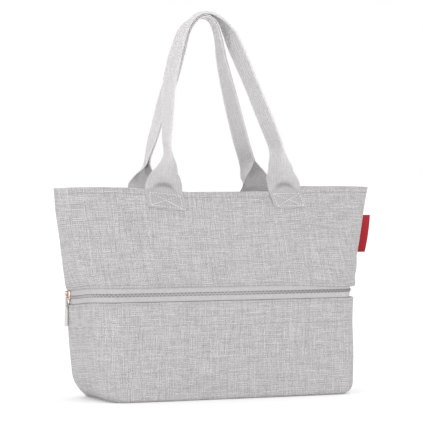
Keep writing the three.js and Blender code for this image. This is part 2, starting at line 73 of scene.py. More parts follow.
camera_data = bpy.data.cameras.new("camera")
camera_data.sensor_width = SENSOR_WIDTH
camera_data.lens = SENSOR_WIDTH * FOCAL_PIXELS / IMAGE_SIDE
camera_data.shift_x = (IMAGE_SIDE / 2 - AXIS_COLUMN) / IMAGE_SIDE
camera = bpy.data.objects.new("camera", camera_data)
camera.location = (
    -CAMERA_REACH * math.sin(VIEW_TURN),
    -CAMERA_REACH * math.cos(VIEW_TURN),
    CAMERA_HEIGHT,
)
camera.rotation_euler = (math.pi / 2 - CAMERA_DIP, 0, -VIEW_TURN)
bpy.context.collection.objects.link(camera)
bpy.context.scene.camera = camera
print("lens", round(camera_data.lens, 1), "mm")

# %% [markdown]
# ## Threads, as a shared shader group
# Every cloth on the bag is woven. A picture of cloth could be laid over it, but its threads would blur
# close up and repeat. One node group draws the weave instead, and each material sets its own thread size. A
# plain weave is a chequer: at each crossing either the upright thread or the level one lies on top. Each
# thread changes shade slowly along its length, which gives mixed yarn its short streaks, level and upright.
# The group puts out a shade for the colour, with painted shade at the edges of each thread, and a height
# for the bump. It reads a UV map measured in metres.

# %% A small helper for node trees
def wire(tree, node_type, inputs=(), **settings):
    """Adds a node, sets its properties, and fills its sockets with values or links."""
    node = tree.nodes.new(node_type)
    for name, value in settings.items():
        setattr(node, name, value)
    for socket, value in dict(inputs).items():
        if isinstance(value, bpy.types.NodeSocket):
            tree.links.new(value, node.inputs[socket])
        else:
            node.inputs[socket].default_value = value
    return node


def math_node(tree, operation, a, b=0.0):
    """One step of arithmetic in a node tree."""
    return wire(tree, "ShaderNodeMath", {0: a, 1: b}, operation=operation).outputs[0]


print("wire:", wire.__doc__)

# %% Shade of one set of threads
THREAD_DRIFT = 0.22  # step between neighbouring threads in the noise that sets their contrast
THREAD_JUMP = 7.31  # step in the noise that makes each thread different
JUMP_SHARE = 0.8
SLUB_STEP = 0.4  # step from thread to thread in the noise that makes them thick and thin
SLUB_SIZE = 2.2


def noise(tree, across, along, seed):
    """Smooth noise about nought at a place across and along the threads."""
    place = wire(tree, "ShaderNodeCombineXYZ", {0: across, 1: along, 2: seed}).outputs[0]
    settings = {"Vector": place, "Scale": 1.0, "Detail": 1.0, "Roughness": 0.5}
    grain = wire(tree, "ShaderNodeTexNoise", settings)
    return math_node(tree, "SUBTRACT", grain.outputs[0], 0.5)


def thread_shade(tree, thread, along, streak, seed):
    """Shade of one set of threads: light and dark take turns, more in places, and each thread varies."""
    run = math_node(tree, "DIVIDE", along, streak)
    contrast = noise(tree, math_node(tree, "MULTIPLY", thread, THREAD_DRIFT), run, seed)
    turn = math_node(tree, "SUBTRACT", math_node(tree, "FLOORED_MODULO", thread, 2.0), 0.5)
    paired = math_node(tree, "MULTIPLY", contrast, math_node(tree, "MULTIPLY", turn, 2.0))
    own = noise(tree, math_node(tree, "MULTIPLY", thread, THREAD_JUMP), run, seed + 5)
    return math_node(tree, "ADD", paired, math_node(tree, "MULTIPLY", own, JUMP_SHARE))


def slubs(tree, across, seed):
    """Pushes the count of threads to and fro, so that some threads come out thick and some thin."""
    push = noise(tree, math_node(tree, "MULTIPLY", across, SLUB_STEP), 0.0, seed)
    return math_node(tree, "ADD", across, math_node(tree, "MULTIPLY", push, SLUB_SIZE))


print("slubs push threads by up to", SLUB_SIZE / 2, "of their width")

# %% The thread group
GRAIN_SHARE = 0.22  # how much single crossings differ
PILLOW_MEAN = 0.64
THREAD_EDGE_SHADE = 0.35  # painted shade: how much darker a thread is at its edges
WARP_SEEDS = (21.5, 3.7)  # seeds of the slubs and the shade of the upright threads
WEFT_SEEDS = (34.1, 11.2)


def roundness(tree, count):
    """Rises and falls once across each thread."""
    return math_node(tree, "SINE", math_node(tree, "MULTIPLY", math_node(tree, "FRACT", count), math.pi))


def build_thread_group():
    """Makes the group that every cloth material shares."""
    tree = bpy.data.node_groups.new("woven_threads", "ShaderNodeTree")
    face = tree.interface
    face.new_socket("Place", in_out="INPUT", socket_type="NodeSocketVector")
    for name, value in (("Pitch", 0.001), ("Streak", 0.015)):
        face.new_socket(name, in_out="INPUT", socket_type="NodeSocketFloat").default_value = value
    face.new_socket("Shade", in_out="OUTPUT", socket_type="NodeSocketFloat")
    face.new_socket("Height", in_out="OUTPUT", socket_type="NodeSocketFloat")
    given = tree.nodes.new("NodeGroupInput").outputs
    split = wire(tree, "ShaderNodeSeparateXYZ", {0: given["Place"]}).outputs
    across = slubs(tree, math_node(tree, "DIVIDE", split[0], given["Pitch"]), WARP_SEEDS[0])
    up = slubs(tree, math_node(tree, "DIVIDE", split[1], given["Pitch"]), WEFT_SEEDS[0])
    warp = math_node(tree, "FLOOR", across)
    weft = math_node(tree, "FLOOR", up)
    warp_shade = thread_shade(tree, warp, split[1], given["Streak"], WARP_SEEDS[1])
    weft_shade = thread_shade(tree, weft, split[0], given["Streak"], WEFT_SEEDS[1])
    on_top = math_node(tree, "FLOORED_MODULO", math_node(tree, "ADD", warp, weft), 2.0)
    shade = wire(tree, "ShaderNodeMix", {0: on_top, 2: warp_shade, 3: weft_shade}).outputs[0]
    crossing = wire(tree, "ShaderNodeCombineXYZ", {0: warp, 1: weft}).outputs[0]
    grain = wire(tree, "ShaderNodeTexWhiteNoise", {"Vector": crossing}).outputs["Value"]
    grain = math_node(tree, "MULTIPLY", math_node(tree, "SUBTRACT", grain, 0.5), GRAIN_SHARE)
    shade = math_node(tree, "ADD", shade, grain)
    round_across = roundness(tree, across)
    round_up = roundness(tree, up)
    pillow = math_node(tree, "SQRT", math_node(tree, "MULTIPLY", round_across, round_up))
    # painted shade at the edges of each thread
    rounded = math_node(tree, "MULTIPLY", math_node(tree, "SUBTRACT", pillow, PILLOW_MEAN), THREAD_EDGE_SHADE)
    shade = math_node(tree, "ADD", math_node(tree, "ADD", shade, rounded), 0.5)
    out = tree.nodes.new("NodeGroupOutput")
    tree.links.new(shade, out.inputs["Shade"])
    tree.links.new(pillow, out.inputs["Height"])
    return tree


THREADS = build_thread_group()
print("thread group", len(THREADS.nodes), "nodes")

# %% [markdown]
# ## Cloth materials
# The body is thick mixed grey yarn, the webbing of the handles is paler and closer, the zip tape is finer
# still, and the lining inside is pale and nearly plain. Each could be a material made from scratch, but
# they differ only in yarn and thread size. So one function lays the thread group over the UV map, mixes a
# dark and a light yarn by its shade, and raises the threads a little with a bump.

# %% Colours and bare materials
def srgb(r, g, b):
    """A colour read off a screen, 0 to 255, as the linear colour that shaders take."""
    def linear(value):
        share = value / 255
        return share / 12.92 if share <= 0.04045 else ((share + 0.055) / 1.055) ** 2.4

    return (linear(r), linear(g), linear(b), 1)


def colour_mix(tree, share, first, second):
    """A colour between two others."""
    return wire(tree, "ShaderNodeMix", {0: share, 6: first, 7: second}, data_type="RGBA").outputs[2]


def new_material(name):
    """A material with its node tree and its Principled shader."""
    material = bpy.data.materials.new(name)
    material.use_nodes = True
    tree = material.node_tree
    return material, tree, tree.nodes["Principled BSDF"]


print("a mid grey is", round(srgb(128, 128, 128)[0], 3), "to a shader")

# %% Cloth material from two yarns
MM = 0.001
RIBS = 14  # lengthwise ribs in the handles' webbing
RIB_PITCH = 50 * MM / RIBS
SHADOW = (0, 0, 0, 1)
BUMP_STRENGTH = 0.5
CLOTH_SHINE = 0.2


def cloth_material(name, dark, light, pitch, streak, bump, spread=(0.3, 0.7), roughness=0.9, sheen=0.1,
                   foot=0.0, ribs=0.0):
    """A woven material. spread is the range of thread shades from the dark yarn to the light one.

    foot scales the painted shade read from a mesh's foot attribute, and ribs scales the painted shade in
    the furrows between lengthwise ribs.
    """
    material, tree, shader = new_material(name)
    uv = wire(tree, "ShaderNodeUVMap", uv_map="metres").outputs[0]
    threads = wire(tree, "ShaderNodeGroup", node_tree=THREADS)
    tree.links.new(uv, threads.inputs["Place"])
    threads.inputs["Pitch"].default_value = pitch
    threads.inputs["Streak"].default_value = streak
    shades = {0: threads.outputs["Shade"], 1: spread[0], 2: spread[1]}
    share = wire(tree, "ShaderNodeMapRange", shades).outputs[0]
    colour = colour_mix(tree, share, dark, light)
    # painted shade in the furrows between the lengthwise ribs
    if ribs:
        across = wire(tree, "ShaderNodeSeparateXYZ", {0: uv}).outputs[1]
        wave = math_node(tree, "COSINE", math_node(tree, "MULTIPLY", across, 2 * math.pi / RIB_PITCH))
        furrow_shade = math_node(tree, "MULTIPLY", math_node(tree, "SUBTRACT", 1.0, wave), ribs / 2)
        colour = colour_mix(tree, furrow_shade, colour, SHADOW)
    # painted shade on the feet, read from the foot attribute
    if foot:
        painted_shade = wire(tree, "ShaderNodeAttribute", attribute_name="foot").outputs["Fac"]
        amount = math_node(tree, "MULTIPLY", painted_shade, foot)
        colour = colour_mix(tree, amount, colour, SHADOW)
    heights = {"Strength": BUMP_STRENGTH, "Distance": bump, "Height": threads.outputs["Height"]}
    raised = wire(tree, "ShaderNodeBump", heights)
    tree.links.new(colour, shader.inputs["Base Color"])
    tree.links.new(raised.outputs[0], shader.inputs["Normal"])
    shader.inputs["Roughness"].default_value = roughness
    shader.inputs["Sheen Weight"].default_value = sheen
    shader.inputs["Specular IOR Level"].default_value = CLOTH_SHINE
    return material


print("ribs every", round(RIB_PITCH / MM, 2), "mm")

# %% The six cloths
BODY_CLOTH = cloth_material(
    "body_cloth", srgb(158, 156, 157), srgb(206, 204, 205), pitch=1.2 * MM, streak=28 * MM, bump=0.35 * MM
)
LINING = cloth_material(
    "lining", srgb(204, 202, 203), srgb(224, 222, 223), pitch=0.5 * MM, streak=20 * MM, bump=0.1 * MM
)
WEBBING = cloth_material(
    "webbing", srgb(208, 205, 206), srgb(232, 229, 230), pitch=0.8 * MM, streak=9 * MM, bump=0.3 * MM,
    # foot and ribs give painted shade on the feet and in the rib furrows
    foot=0.24, ribs=0.1,
)
ZIP_TAPE = cloth_material(
    "zip_tape", srgb(181, 179, 179), srgb(205, 203, 203), pitch=0.6 * MM, streak=6 * MM, bump=0.15 * MM
)
TAB_RIBBON = cloth_material(
    "tab_ribbon", srgb(194, 194, 190), srgb(221, 222, 218), pitch=0.5 * MM, streak=4 * MM, bump=0.12 * MM
)
LABEL_RIBBON = cloth_material(
    "label_ribbon", srgb(146, 16, 30), srgb(184, 30, 46), pitch=0.3 * MM, streak=4 * MM, bump=0.08 * MM,
    roughness=0.55, sheen=0.2,
)
webbing_shader = WEBBING.node_tree.nodes["Principled BSDF"]
webbing_shader.inputs["Subsurface Weight"].default_value = 0.8  # light comes through the open weave
webbing_shader.inputs["Subsurface Radius"].default_value = (1, 1, 1)
webbing_shader.inputs["Subsurface Scale"].default_value = 6 * MM
CLOTHS = (BODY_CLOTH, LINING, WEBBING, ZIP_TAPE, TAB_RIBBON, LABEL_RIBBON)
print("cloth materials", [cloth.name for cloth in CLOTHS])

# %% [markdown]
# ## Metal, nylon and thread
# The slider and its link are rose-gold plate, the zip's coil is grey nylon, and the stitches are twisted
# thread. One colour and one roughness would make each of them look like plastic. Here one noise drives
# both, so the colour and the shine drift a little over each piece. On the rose gold the colour runs from
# brown to near white, as painted dark reflections and painted highlights.

# %% Hard finishes
def varied_finish(name, dark, light, scale, rough, metal=0.0):
    """A finish whose colour and roughness drift over the surface. rough is the range of its roughness."""
    material, tree, shader = new_material(name)
    place = wire(tree, "ShaderNodeTexCoord").outputs["Object"]
    drift = wire(tree, "ShaderNodeTexNoise", {"Vector": place, "Scale": scale, "Detail": 4.0}).outputs[0]
    colour = colour_mix(tree, drift, dark, light)
    roughness = wire(tree, "ShaderNodeMapRange", {0: drift, 3: rough[0], 4: rough[1]}).outputs[0]
    tree.links.new(colour, shader.inputs["Base Color"])
    tree.links.new(roughness, shader.inputs["Roughness"])
    shader.inputs["Metallic"].default_value = metal
    return material


# near white and brown patches in the rose gold's colour are painted highlights and dark reflections
ROSE_GOLD = varied_finish(
    "rose_gold", srgb(158, 118, 104), srgb(252, 238, 232), 900, (0.12, 0.26), metal=1.0
)
COIL_NYLON = varied_finish("coil_nylon", srgb(160, 159, 160), srgb(184, 183, 184), 500, (0.4, 0.6))
# painted shade between the coil loops and along the chain's edges
COIL_GAP_SHADE = varied_finish("coil_gap_shade", srgb(126, 126, 127), srgb(148, 148, 149), 700, (0.7, 0.9))
STITCH_THREAD = varied_finish("stitch_thread", srgb(222, 219, 220), srgb(244, 241, 242), 900, (0.6, 0.8))
SEAM_THREAD = varied_finish("seam_thread", srgb(148, 146, 147), srgb(176, 174, 175), 900, (0.6, 0.8))
# dark pods as painted shade in the needle holes
NEEDLE_HOLE_SHADE = varied_finish("needle_hole_shade", srgb(96, 94, 95), srgb(124, 122, 123), 900, (0.8, 1.0))
# a dark cord as painted shade in the lower seam
SEAM_SHADE_CORD = varied_finish("seam_shade_cord", srgb(126, 124, 124), srgb(150, 148, 148), 700, (0.8, 1.0))
print("materials so far", len(bpy.data.materials))

# %% [markdown]
# ## The shape of the walls
# A level cut through the bag is a rounded box below the zip. Above the zip it narrows to a lens, because
# the side seams pinch the front and the back together at the rim. A box could be pushed into shape by hand,
# but formulas keep everything that lies on the walls in step with them. The sizes are close to the CAD
# part's, and a few are set again to the photograph.

# %% Sizes of the body
BASE_HALF_LENGTH = 189.5 * MM
BASE_HALF_DEPTH = 66 * MM
ZIP_HALF_LENGTH = 194 * MM
ZIP_HALF_DEPTH = 68 * MM
RIM_HALF_LENGTH = 232 * MM
RIM_CORNER_DEPTH = 4 * MM
RIM_HEIGHT = 277 * MM
PAST_RIM = 1.03  # the sections go on a little above the rim
RIM_FLARE = 3.4 * MM  # the right end of the rim stands out by this much
FLARE_POWER = 6
RIM_DIP = 5 * MM
RIM_DIP_INNER = 50 * MM
RIM_DIP_OUTER = 150 * MM
BACK_RIM_DROP = 1.2 * MM  # the back rim stays hidden behind the front one
RIM_SHOULDER = 1.1 * MM
RIM_SHOULDER_REACH = (195 * MM, 236 * MM)
MOUTH_HALF_OPENING = 40 * MM
ZIP_BULGE = 4 * MM
BASE_BULGE = 1.5 * MM
CORNER_RADIUS = 36 * MM
BASE_CORNER_RADIUS = 30 * MM
SEAM_SWELL = 0.68  # power of the rise that gives the side seams their swell
ROUND_SHARE = 0.95
ROUND_RISE = 0.3
LONG_EDGE_RADIUS = 6 * MM
LEFT_EDGE_RADII = (20 * MM, 45 * MM)  # bottom edge at the front and back corners
RIGHT_EDGE_RADII = (15.5 * MM, 36 * MM)
BASE_SEAM_ANGLE = math.radians(45)
CLOTH = 2 * MM
CHAIN_HEIGHT = 139.2 * MM
LOWER_PANEL_TOP = 129.6 * MM
UPPER_PANEL_BOTTOM = 148.3 * MM
SLIDER_DIP = 6 * MM
SLIDER_ARC = 39 * MM
SLIDER_DIP_SPREAD = 55 * MM
FRONT = -1
BACK = 1


def blend(a, b, share):
    """From a to b by a share."""
    return a + (b - a) * share


def ease(value, low, high):
    """Rises softly from 0 at low to 1 at high."""
    share = np.clip((value - low) / (high - low), 0, 1)
    return share * share * (3 - 2 * share)


print("rim", round(2 * RIM_HALF_LENGTH, 3), "m long and", round(RIM_HEIGHT, 3), "m up")

# %% Level sections
def section_sizes(z):
    """Half length, depth at the corners and in the middle, and corner radius at each height."""
    below = np.minimum(z / LOWER_PANEL_TOP, 1)
    above = np.clip((z - UPPER_PANEL_BOTTOM) / (RIM_HEIGHT - UPPER_PANEL_BOTTOM), 0, PAST_RIM)
    low = z <= UPPER_PANEL_BOTTOM
    bowed = above**SEAM_SWELL
    low_half = blend(BASE_HALF_LENGTH, ZIP_HALF_LENGTH, below)
    half = np.where(low, low_half, blend(ZIP_HALF_LENGTH, RIM_HALF_LENGTH, bowed))
    pinched = np.maximum(blend(ZIP_HALF_DEPTH, RIM_CORNER_DEPTH, above), RIM_CORNER_DEPTH)
    corner = np.where(low, blend(BASE_HALF_DEPTH, ZIP_HALF_DEPTH, below), pinched)
    bulge = blend(BASE_BULGE, ZIP_BULGE, below)
    middle = np.where(low, corner + bulge, blend(ZIP_HALF_DEPTH + ZIP_BULGE, MOUTH_HALF_OPENING, above))
    round_share = blend(CORNER_RADIUS / ZIP_HALF_DEPTH, ROUND_SHARE, np.minimum(above / ROUND_RISE, 1))
    radius = np.where(low, blend(BASE_CORNER_RADIUS, CORNER_RADIUS, below), corner * round_share)
    return half, corner, middle, radius


SLOPE_PASSES = 6  # the slope and the corner settle together in a few passes


def long_wall(z):
    """The long side of a section is a shallow parabola that leaves each corner along its slope."""
    half, corner, middle, radius = section_sizes(z)
    end_x = half - radius
    end_depth = corner
    for _ in range(SLOPE_PASSES):
        slope = np.arctan(2 * (middle - end_depth) / end_x)
        end_x = half - radius + radius * np.sin(slope)
        end_depth = corner - radius + radius * np.cos(slope)
    return half, corner, middle, radius, slope, end_x, end_depth


low_and_high = section_sizes(np.array([0, RIM_HEIGHT]))[0]
print("half length at the base and at the rim", low_and_high.round(4))

# %% [markdown]
# ## Soft ends
# The ends of a soft bag aren't plain slopes. The left end leans in towards its foot, and both have shallow
# swells and hollows. They could be sculpted, but a table is easier to set again: each row is a height, a
# draw to the right and a spread. The same draw moves the walls, the zip and the stitches, so they stay
# together.

# %% Draws of the ends
LEFT_TAPER = 8.2 * MM  # the left end leans in by this much at its foot
LEFT_TAPER_REACH = (-35 * MM, 105 * MM)
# height, draw to the right and spread (mm) of the swells and hollows in each end
LEFT_DRAWS = [(186, -2.4, 20), (272, 1.8, 16)]
RIGHT_DRAWS = [(105, -4.3, 42), (20, -1.2, 30), (160, -2.8, 8)]


def end_draw(hand, z):
    """How far each end is drawn to the right at each height."""
    left = LEFT_TAPER * (1 - ease(z, *LEFT_TAPER_REACH))
    right = np.zeros_like(left)
    for height, draw, spread in LEFT_DRAWS:
        left = left + draw * MM * np.exp(-(((z / MM - height) / spread) ** 2))
    for height, draw, spread in RIGHT_DRAWS:
        right = right + draw * MM * np.exp(-(((z / MM - height) / spread) ** 2))
    return np.where(hand > 0, right, left)


print("left end leans in by", round(float(end_draw(-1, 0.0)) / MM, 1), "mm at its foot")

# %% [markdown]
# ## Columns along a wall
# A wall is a grid of columns and rows. The columns go along a half section: along the flat end from the
# left seam, round the corner, along the long side, and the same again to the right seam. Even columns would
# be simpler, but they would need many more points for the same corners, so the columns lie closest at the
# bends.

# %% Points of the wall
END_SHARES = [0, 0.03, 0.07, 0.15, 0.35, 0.6]  # columns along the flat end, closest at the side seam
CORNER_STEPS = 14
LONG_STEPS = 84
HALF_COLUMNS = len(END_SHARES) + CORNER_STEPS + LONG_STEPS // 2
COLUMNS = 2 * HALF_COLUMNS + 1


def wall_section(column, z):
    """Place and outward normal on the half section at height z, for columns from left seam to right."""
    column, z = np.broadcast_arrays(column, z)
    half, corner, middle, radius, slope, end_x, end_depth = long_wall(z)
    hand = np.where(column > HALF_COLUMNS, 1.0, -1.0)
    step = np.where(column > HALF_COLUMNS, 2 * HALF_COLUMNS - column, column)
    on_end = step < len(END_SHARES)
    on_corner = ~on_end & (step < len(END_SHARES) + CORNER_STEPS)
    shares = np.array(END_SHARES + [0.0])[np.minimum(step, len(END_SHARES))]
    turn = (math.pi / 2 - slope) * (step - len(END_SHARES)) / CORNER_STEPS
    turn = np.where(on_corner, turn, 0)
    long_x = end_x * (1 - 2 * (step - len(END_SHARES) - CORNER_STEPS) / LONG_STEPS)
    rise = 2 * (middle - end_depth) * long_x / end_x**2
    scale = 1 / np.hypot(1, rise)
    x = np.where(on_end, half, np.where(on_corner, half - radius + radius * np.cos(turn), long_x))
    corner_depth = corner - radius + radius * np.sin(turn)
    wall_depth = middle - (middle - end_depth) * (long_x / end_x) ** 2
    depth = np.where(on_end, (corner - radius) * shares, np.where(on_corner, corner_depth, wall_depth))
    nx = np.where(on_end, 1, np.where(on_corner, np.cos(turn), rise * scale))
    nd = np.where(on_end, 0, np.where(on_corner, np.sin(turn), scale))
    rise = np.clip((z - UPPER_PANEL_BOTTOM) / (RIM_HEIGHT - UPPER_PANEL_BOTTOM), 0, 1)
    flare = np.where(hand > 0, RIM_FLARE * rise**FLARE_POWER, 0) + end_draw(hand, z)
    return hand * x + flare * (x / half) ** 2, depth, hand * nx, nd


def wall_depth_at(x, z):
    """Depth of the long wall's outer face at x and z, from the middle plane."""
    _, _, middle, _, _, end_x, end_depth = long_wall(z)
    return middle - (middle - end_depth) * (x / end_x) ** 2


def running(steps):
    """Distances from the start of a line, from the steps between its points."""
    return np.concatenate([[0], np.cumsum(steps)])


all_columns = np.arange(COLUMNS)
zip_x, zip_depth, _, _ = wall_section(all_columns, CHAIN_HEIGHT)
ZIP_ARC = running(np.hypot(np.diff(zip_x), np.diff(zip_depth)))
print("zip from seam to seam", round(ZIP_ARC[-1], 4), "m,", COLUMNS, "columns")

# %% [markdown]
# ## Where the zip sags and the rim dips
# The slider's weight drags the zip down at the left end, and the rim hangs lower between the handles. A
# lattice could bend the finished bag, but the stitches have to follow the same lines. Both are heights that
# change along the columns, so two functions give them to every piece that follows the zip or the rim.

# %% Zip sag and rim height
def zip_sag(column, side):
    """The slider's weight drags the zip down at the left end."""
    away = (side * ZIP_ARC[column] - SLIDER_ARC) / SLIDER_DIP_SPREAD
    return SLIDER_DIP * np.exp(-away * away)


def rim_height(column, side):
    """Height of the rim at each column."""
    x, _, _, _ = wall_section(column, RIM_HEIGHT)
    dip = RIM_DIP * (1 - ease(np.abs(x), RIM_DIP_INNER, RIM_DIP_OUTER))
    shoulder = RIM_SHOULDER * (1 - dip / RIM_DIP) * (1 - ease(np.abs(x), *RIM_SHOULDER_REACH))
    drop = BACK_RIM_DROP * dip / RIM_DIP if side == BACK else 0
    return RIM_HEIGHT + shoulder - dip - drop


front_rim = rim_height(all_columns, FRONT)
print("front rim from", round(float(front_rim.min()), 4), "to", round(float(front_rim.max()), 4), "m")

# %% [markdown]
# ## Soft cloth
# Cloth never stands dead flat. Long low waves run over the long walls, and the stitching gathers short
# ripples along each seam, which fade a couple of centimetres away from it. A cloth simulation could make
# them, but it wouldn't keep the photograph's outline. The waves are sums of sines with a fixed seed, so the
# bag comes out the same each time. The handles' feet use the same waves and so stay on the cloth.

# %% Waves and ripples
WAVE_HEIGHT = 0.9 * MM
WAVE_LENGTHS = (95 * MM, 150 * MM)
RIPPLE_HEIGHT = 0.3 * MM
RIPPLE_LENGTH = 17 * MM
RIPPLE_REACH = 13 * MM
RIPPLE_START = 5 * MM  # the ripples begin this far from the seam
SECOND_RIPPLE = (0.6, 1.37, 1.0)  # height and length as shares of the first ripple's, and start
BASE_FADE = (8 * MM, 45 * MM)
RIM_FADE = 45 * MM
ZIP_FADE = (9 * MM, 35 * MM)
WAVES = 7
WAVE_SEED = 4
wave_random = np.random.default_rng(WAVE_SEED)
wave_angles = wave_random.uniform(0, math.pi, WAVES)
wave_lengths = wave_random.uniform(*WAVE_LENGTHS, WAVES)
wave_starts = wave_random.uniform(0, 2 * math.pi, (2, WAVES))


def cloth_waves(x, z, side):
    """How far the cloth stands out from its plain shape, fading out at the rim, the zip and the base."""
    total = np.zeros(np.broadcast(x, z).shape)
    for angle, length, start in zip(wave_angles, wave_lengths, wave_starts[(side + 1) // 2]):
        run = x * math.cos(angle) + z * math.sin(angle)
        total = total + np.sin(2 * math.pi * run / length + start)
    fade = ease(z, *BASE_FADE) * (1 - ease(z, RIM_HEIGHT - RIM_FADE, RIM_HEIGHT))
    fade = fade * ease(np.abs(z - CHAIN_HEIGHT), *ZIP_FADE)
    return WAVE_HEIGHT * fade * total / math.sqrt(WAVES)


def seam_ripple(arc, away):
    """Short ripples along a stitched seam at a distance away from it."""
    height, length, start = SECOND_RIPPLE
    second = height * np.sin(2 * math.pi * arc / (length * RIPPLE_LENGTH) + start)
    beat = np.sin(2 * math.pi * arc / RIPPLE_LENGTH) + second
    return RIPPLE_HEIGHT * beat * np.exp(-away / RIPPLE_REACH) * ease(away, 0, RIPPLE_START)


print("wave lengths", wave_lengths.round(3), "m")

# %% [markdown]
# ## Sewing a wall together
# A cloth wall has an outer face, a lining and turned edges. A thin sheet with a Solidify modifier could
# stand for it, but its edges would be square. So each wall is one closed skin: its profile runs up the
# outer face, over a rounded turned edge, down the lining and back round the other edge, and it is repeated
# in every column from one side seam to the other. A UV map in metres keeps the threads at one size all over
# the bag.

# %% Closed skins from profiles
def add_piece(name, points, faces, materials, face_materials=None, uvs=None):
    """A smooth mesh object. uvs gives one place in metres for each corner of each face."""
    mesh = bpy.data.meshes.new(name)
    mesh.from_pydata([tuple(p) for p in points], [], faces)
    for material in materials:
        mesh.materials.append(material)
    if face_materials is not None:
        mesh.polygons.foreach_set("material_index", face_materials)
    if uvs is not None:
        layer = mesh.uv_layers.new(name="metres")
        layer.data.foreach_set("uv", np.asarray(uvs, np.float32).ravel())
    mesh.polygons.foreach_set("use_smooth", [True] * len(mesh.polygons))
    mesh.validate()
    outwards = bmesh.new()
    outwards.from_mesh(mesh)
    bmesh.ops.recalc_face_normals(outwards, faces=outwards.faces)
    outwards.to_mesh(mesh)
    outwards.free()
    piece = bpy.data.objects.new(name, mesh)
    bpy.context.collection.objects.link(piece)
    return piece


def skin(name, grid, places, materials, inner_rows=(), ring=False):
    """A closed skin from grid[column, row], whose rows go round the profile. ring joins the columns too.

    places[column, row] is the UV place, and inner_rows are the rows whose faces take the second material.
    """
    columns, rows = grid.shape[:2]
    faces = []
    uvs = []
    chosen = []
    inner = set(inner_rows)
    spans = columns if ring else columns - 1
    for i in range(spans):
        for j in range(rows):
            corners = [(i, j), (i + 1, j), (i + 1, j + 1), (i, j + 1)]
            faces.append([(a % columns) * rows + b % rows for a, b in corners])
            uvs.extend(places[a, b] for a, b in corners)
            chosen.append(1 if j in inner else 0)
    if not ring:
        for i in (0, columns - 1):
            cap = [(i, j) for j in range(rows)]
            faces.append([a * rows + b for a, b in cap])
            uvs.extend(places[a, b] for a, b in cap)
            chosen.append(0)
    return add_piece(name, grid.reshape(-1, 3), faces, materials, chosen, uvs)


def skin_places(along, up, ring=False):
    """UV places with one more row than the profile, so that the last face doesn't run back over the map."""
    columns = len(along)
    places = np.zeros((columns, len(up) + 1, 2))
    places[:, :, 0] = along[:, None]
    places[:, :-1, 1] = up
    places[:, -1, 1] = 2 * up[-1] - up[-2]
    if ring:
        places = np.concatenate([places, places[:1]])
        places[-1, :, 0] = 2 * along[-1] - along[-2]
    return places


print("places on a strip of 3 columns and 4 rows", skin_places(np.arange(3.0), np.arange(4.0)).shape)

# %% Profile of a wall
FACE_ROWS = 54
LINING_ROWS = 14
TURN_ROWS = 5
EVEN_SHARE = 0.45
CROWDED_SHARE = 0.55


def crowded(rows):
    """Shares from 0 to 1 that lie closer together at both ends, where the stitching needs more rows."""
    even = np.linspace(0, 1, rows)
    return EVEN_SHARE * even + CROWDED_SHARE * (1 - np.cos(math.pi * even)) / 2


def turned_profile(rows=FACE_ROWS, lining_rows=LINING_ROWS, thickness=CLOTH):
    """Rows round a wall: share of its height, extra height and inset, and the range of rows that are lined.

    The rows go up the face, over the top edge, down the lining and round the bottom edge.
    """
    radius = thickness / 2
    bend = np.linspace(0, math.pi, TURN_ROWS + 2)[1:-1]
    lining = np.linspace(1, 0, lining_rows)
    share = np.concatenate([crowded(rows), np.ones(TURN_ROWS), lining, np.zeros(TURN_ROWS)])
    over = radius * np.sin(bend)
    extra = np.concatenate([np.zeros(rows), over, np.zeros(lining_rows), -over])
    top_inset = radius * (1 - np.cos(bend))
    inset = np.concatenate([np.zeros(rows), top_inset, np.full(lining_rows, thickness), top_inset[::-1]])
    first_inner = rows + TURN_ROWS // 2
    return share, extra, inset, range(first_inner, rows + TURN_ROWS + lining_rows + TURN_ROWS // 2)


print("rows round a wall", len(turned_profile()[0]))

# %% [markdown]
# ## Side seams and straight threads
# Above the zip the cloth dives into the side seams, so each wall is drawn in at its first and last columns.
# The threads of a wall run straight up from the base. An automatic unwrap would lay the map flat, but its
# threads would lean with the cloth, so the map measures the real distance from the wall's middle column
# instead.

# %% Points of a wall with its seams
SEAM_GROOVE = 0.9 * MM  # the cloth dives into the side seams above the zip
SEAM_GROOVE_REACH = 1.6 * MM
SIDE_GAP = 0.08 * MM


def side_groove(column):
    """How far each column is drawn in at the side seams."""
    from_seam = np.minimum(ZIP_ARC[column], ZIP_ARC[-1] - ZIP_ARC[column])
    return SEAM_GROOVE * np.exp(-((from_seam / SEAM_GROOVE_REACH) ** 2))


def wall_points(column, height, side, inset, drop=0.0, lift=0.0):
    """Points of a wall: at a column and height, set in from the face, let down by drop and out by lift."""
    x, depth, nx, nd = wall_section(column, height)
    inset = inset + side_groove(column) * ease(height, LOWER_PANEL_TOP, UPPER_PANEL_BOTTOM) - lift
    return np.stack([x - inset * nx, side * (depth - inset * nd + SIDE_GAP), height - drop], axis=-1)


def thread_places(grid, up):
    """UV places for a wall: across is the real distance from its middle, so upright threads run straight.

    up holds one height for each row, or for each column and row.
    """
    steps = np.linalg.norm(np.diff(grid, axis=0), axis=2)
    run = np.concatenate([np.zeros((1, grid.shape[1])), np.cumsum(steps, axis=0)])
    run = run - run[len(run) // 2]
    places = np.stack([run, np.broadcast_to(up, run.shape)], axis=-1)
    last = 2 * places[:, -1] - places[:, -2]
    last[:, 0] = run[:, -1]
    return np.concatenate([places, last[:, None]], axis=1)


print("the side seam draws the cloth in by", round(float(side_groove(0)) / MM, 2), "mm")

# %% [markdown]
# ## Upper walls
# The wall above the zip runs from a turned edge at the zip to the rim. It hangs a little lower in the
# middle of the rim, between the handles, and its lower edge follows the zip where the slider drags it down.
# A line of stitches holds each edge, and the cloth dips along it. The dips could be a bump in the material,
# but then the stitches would float above them. So they are real shape, and one function gives every point
# of the face.

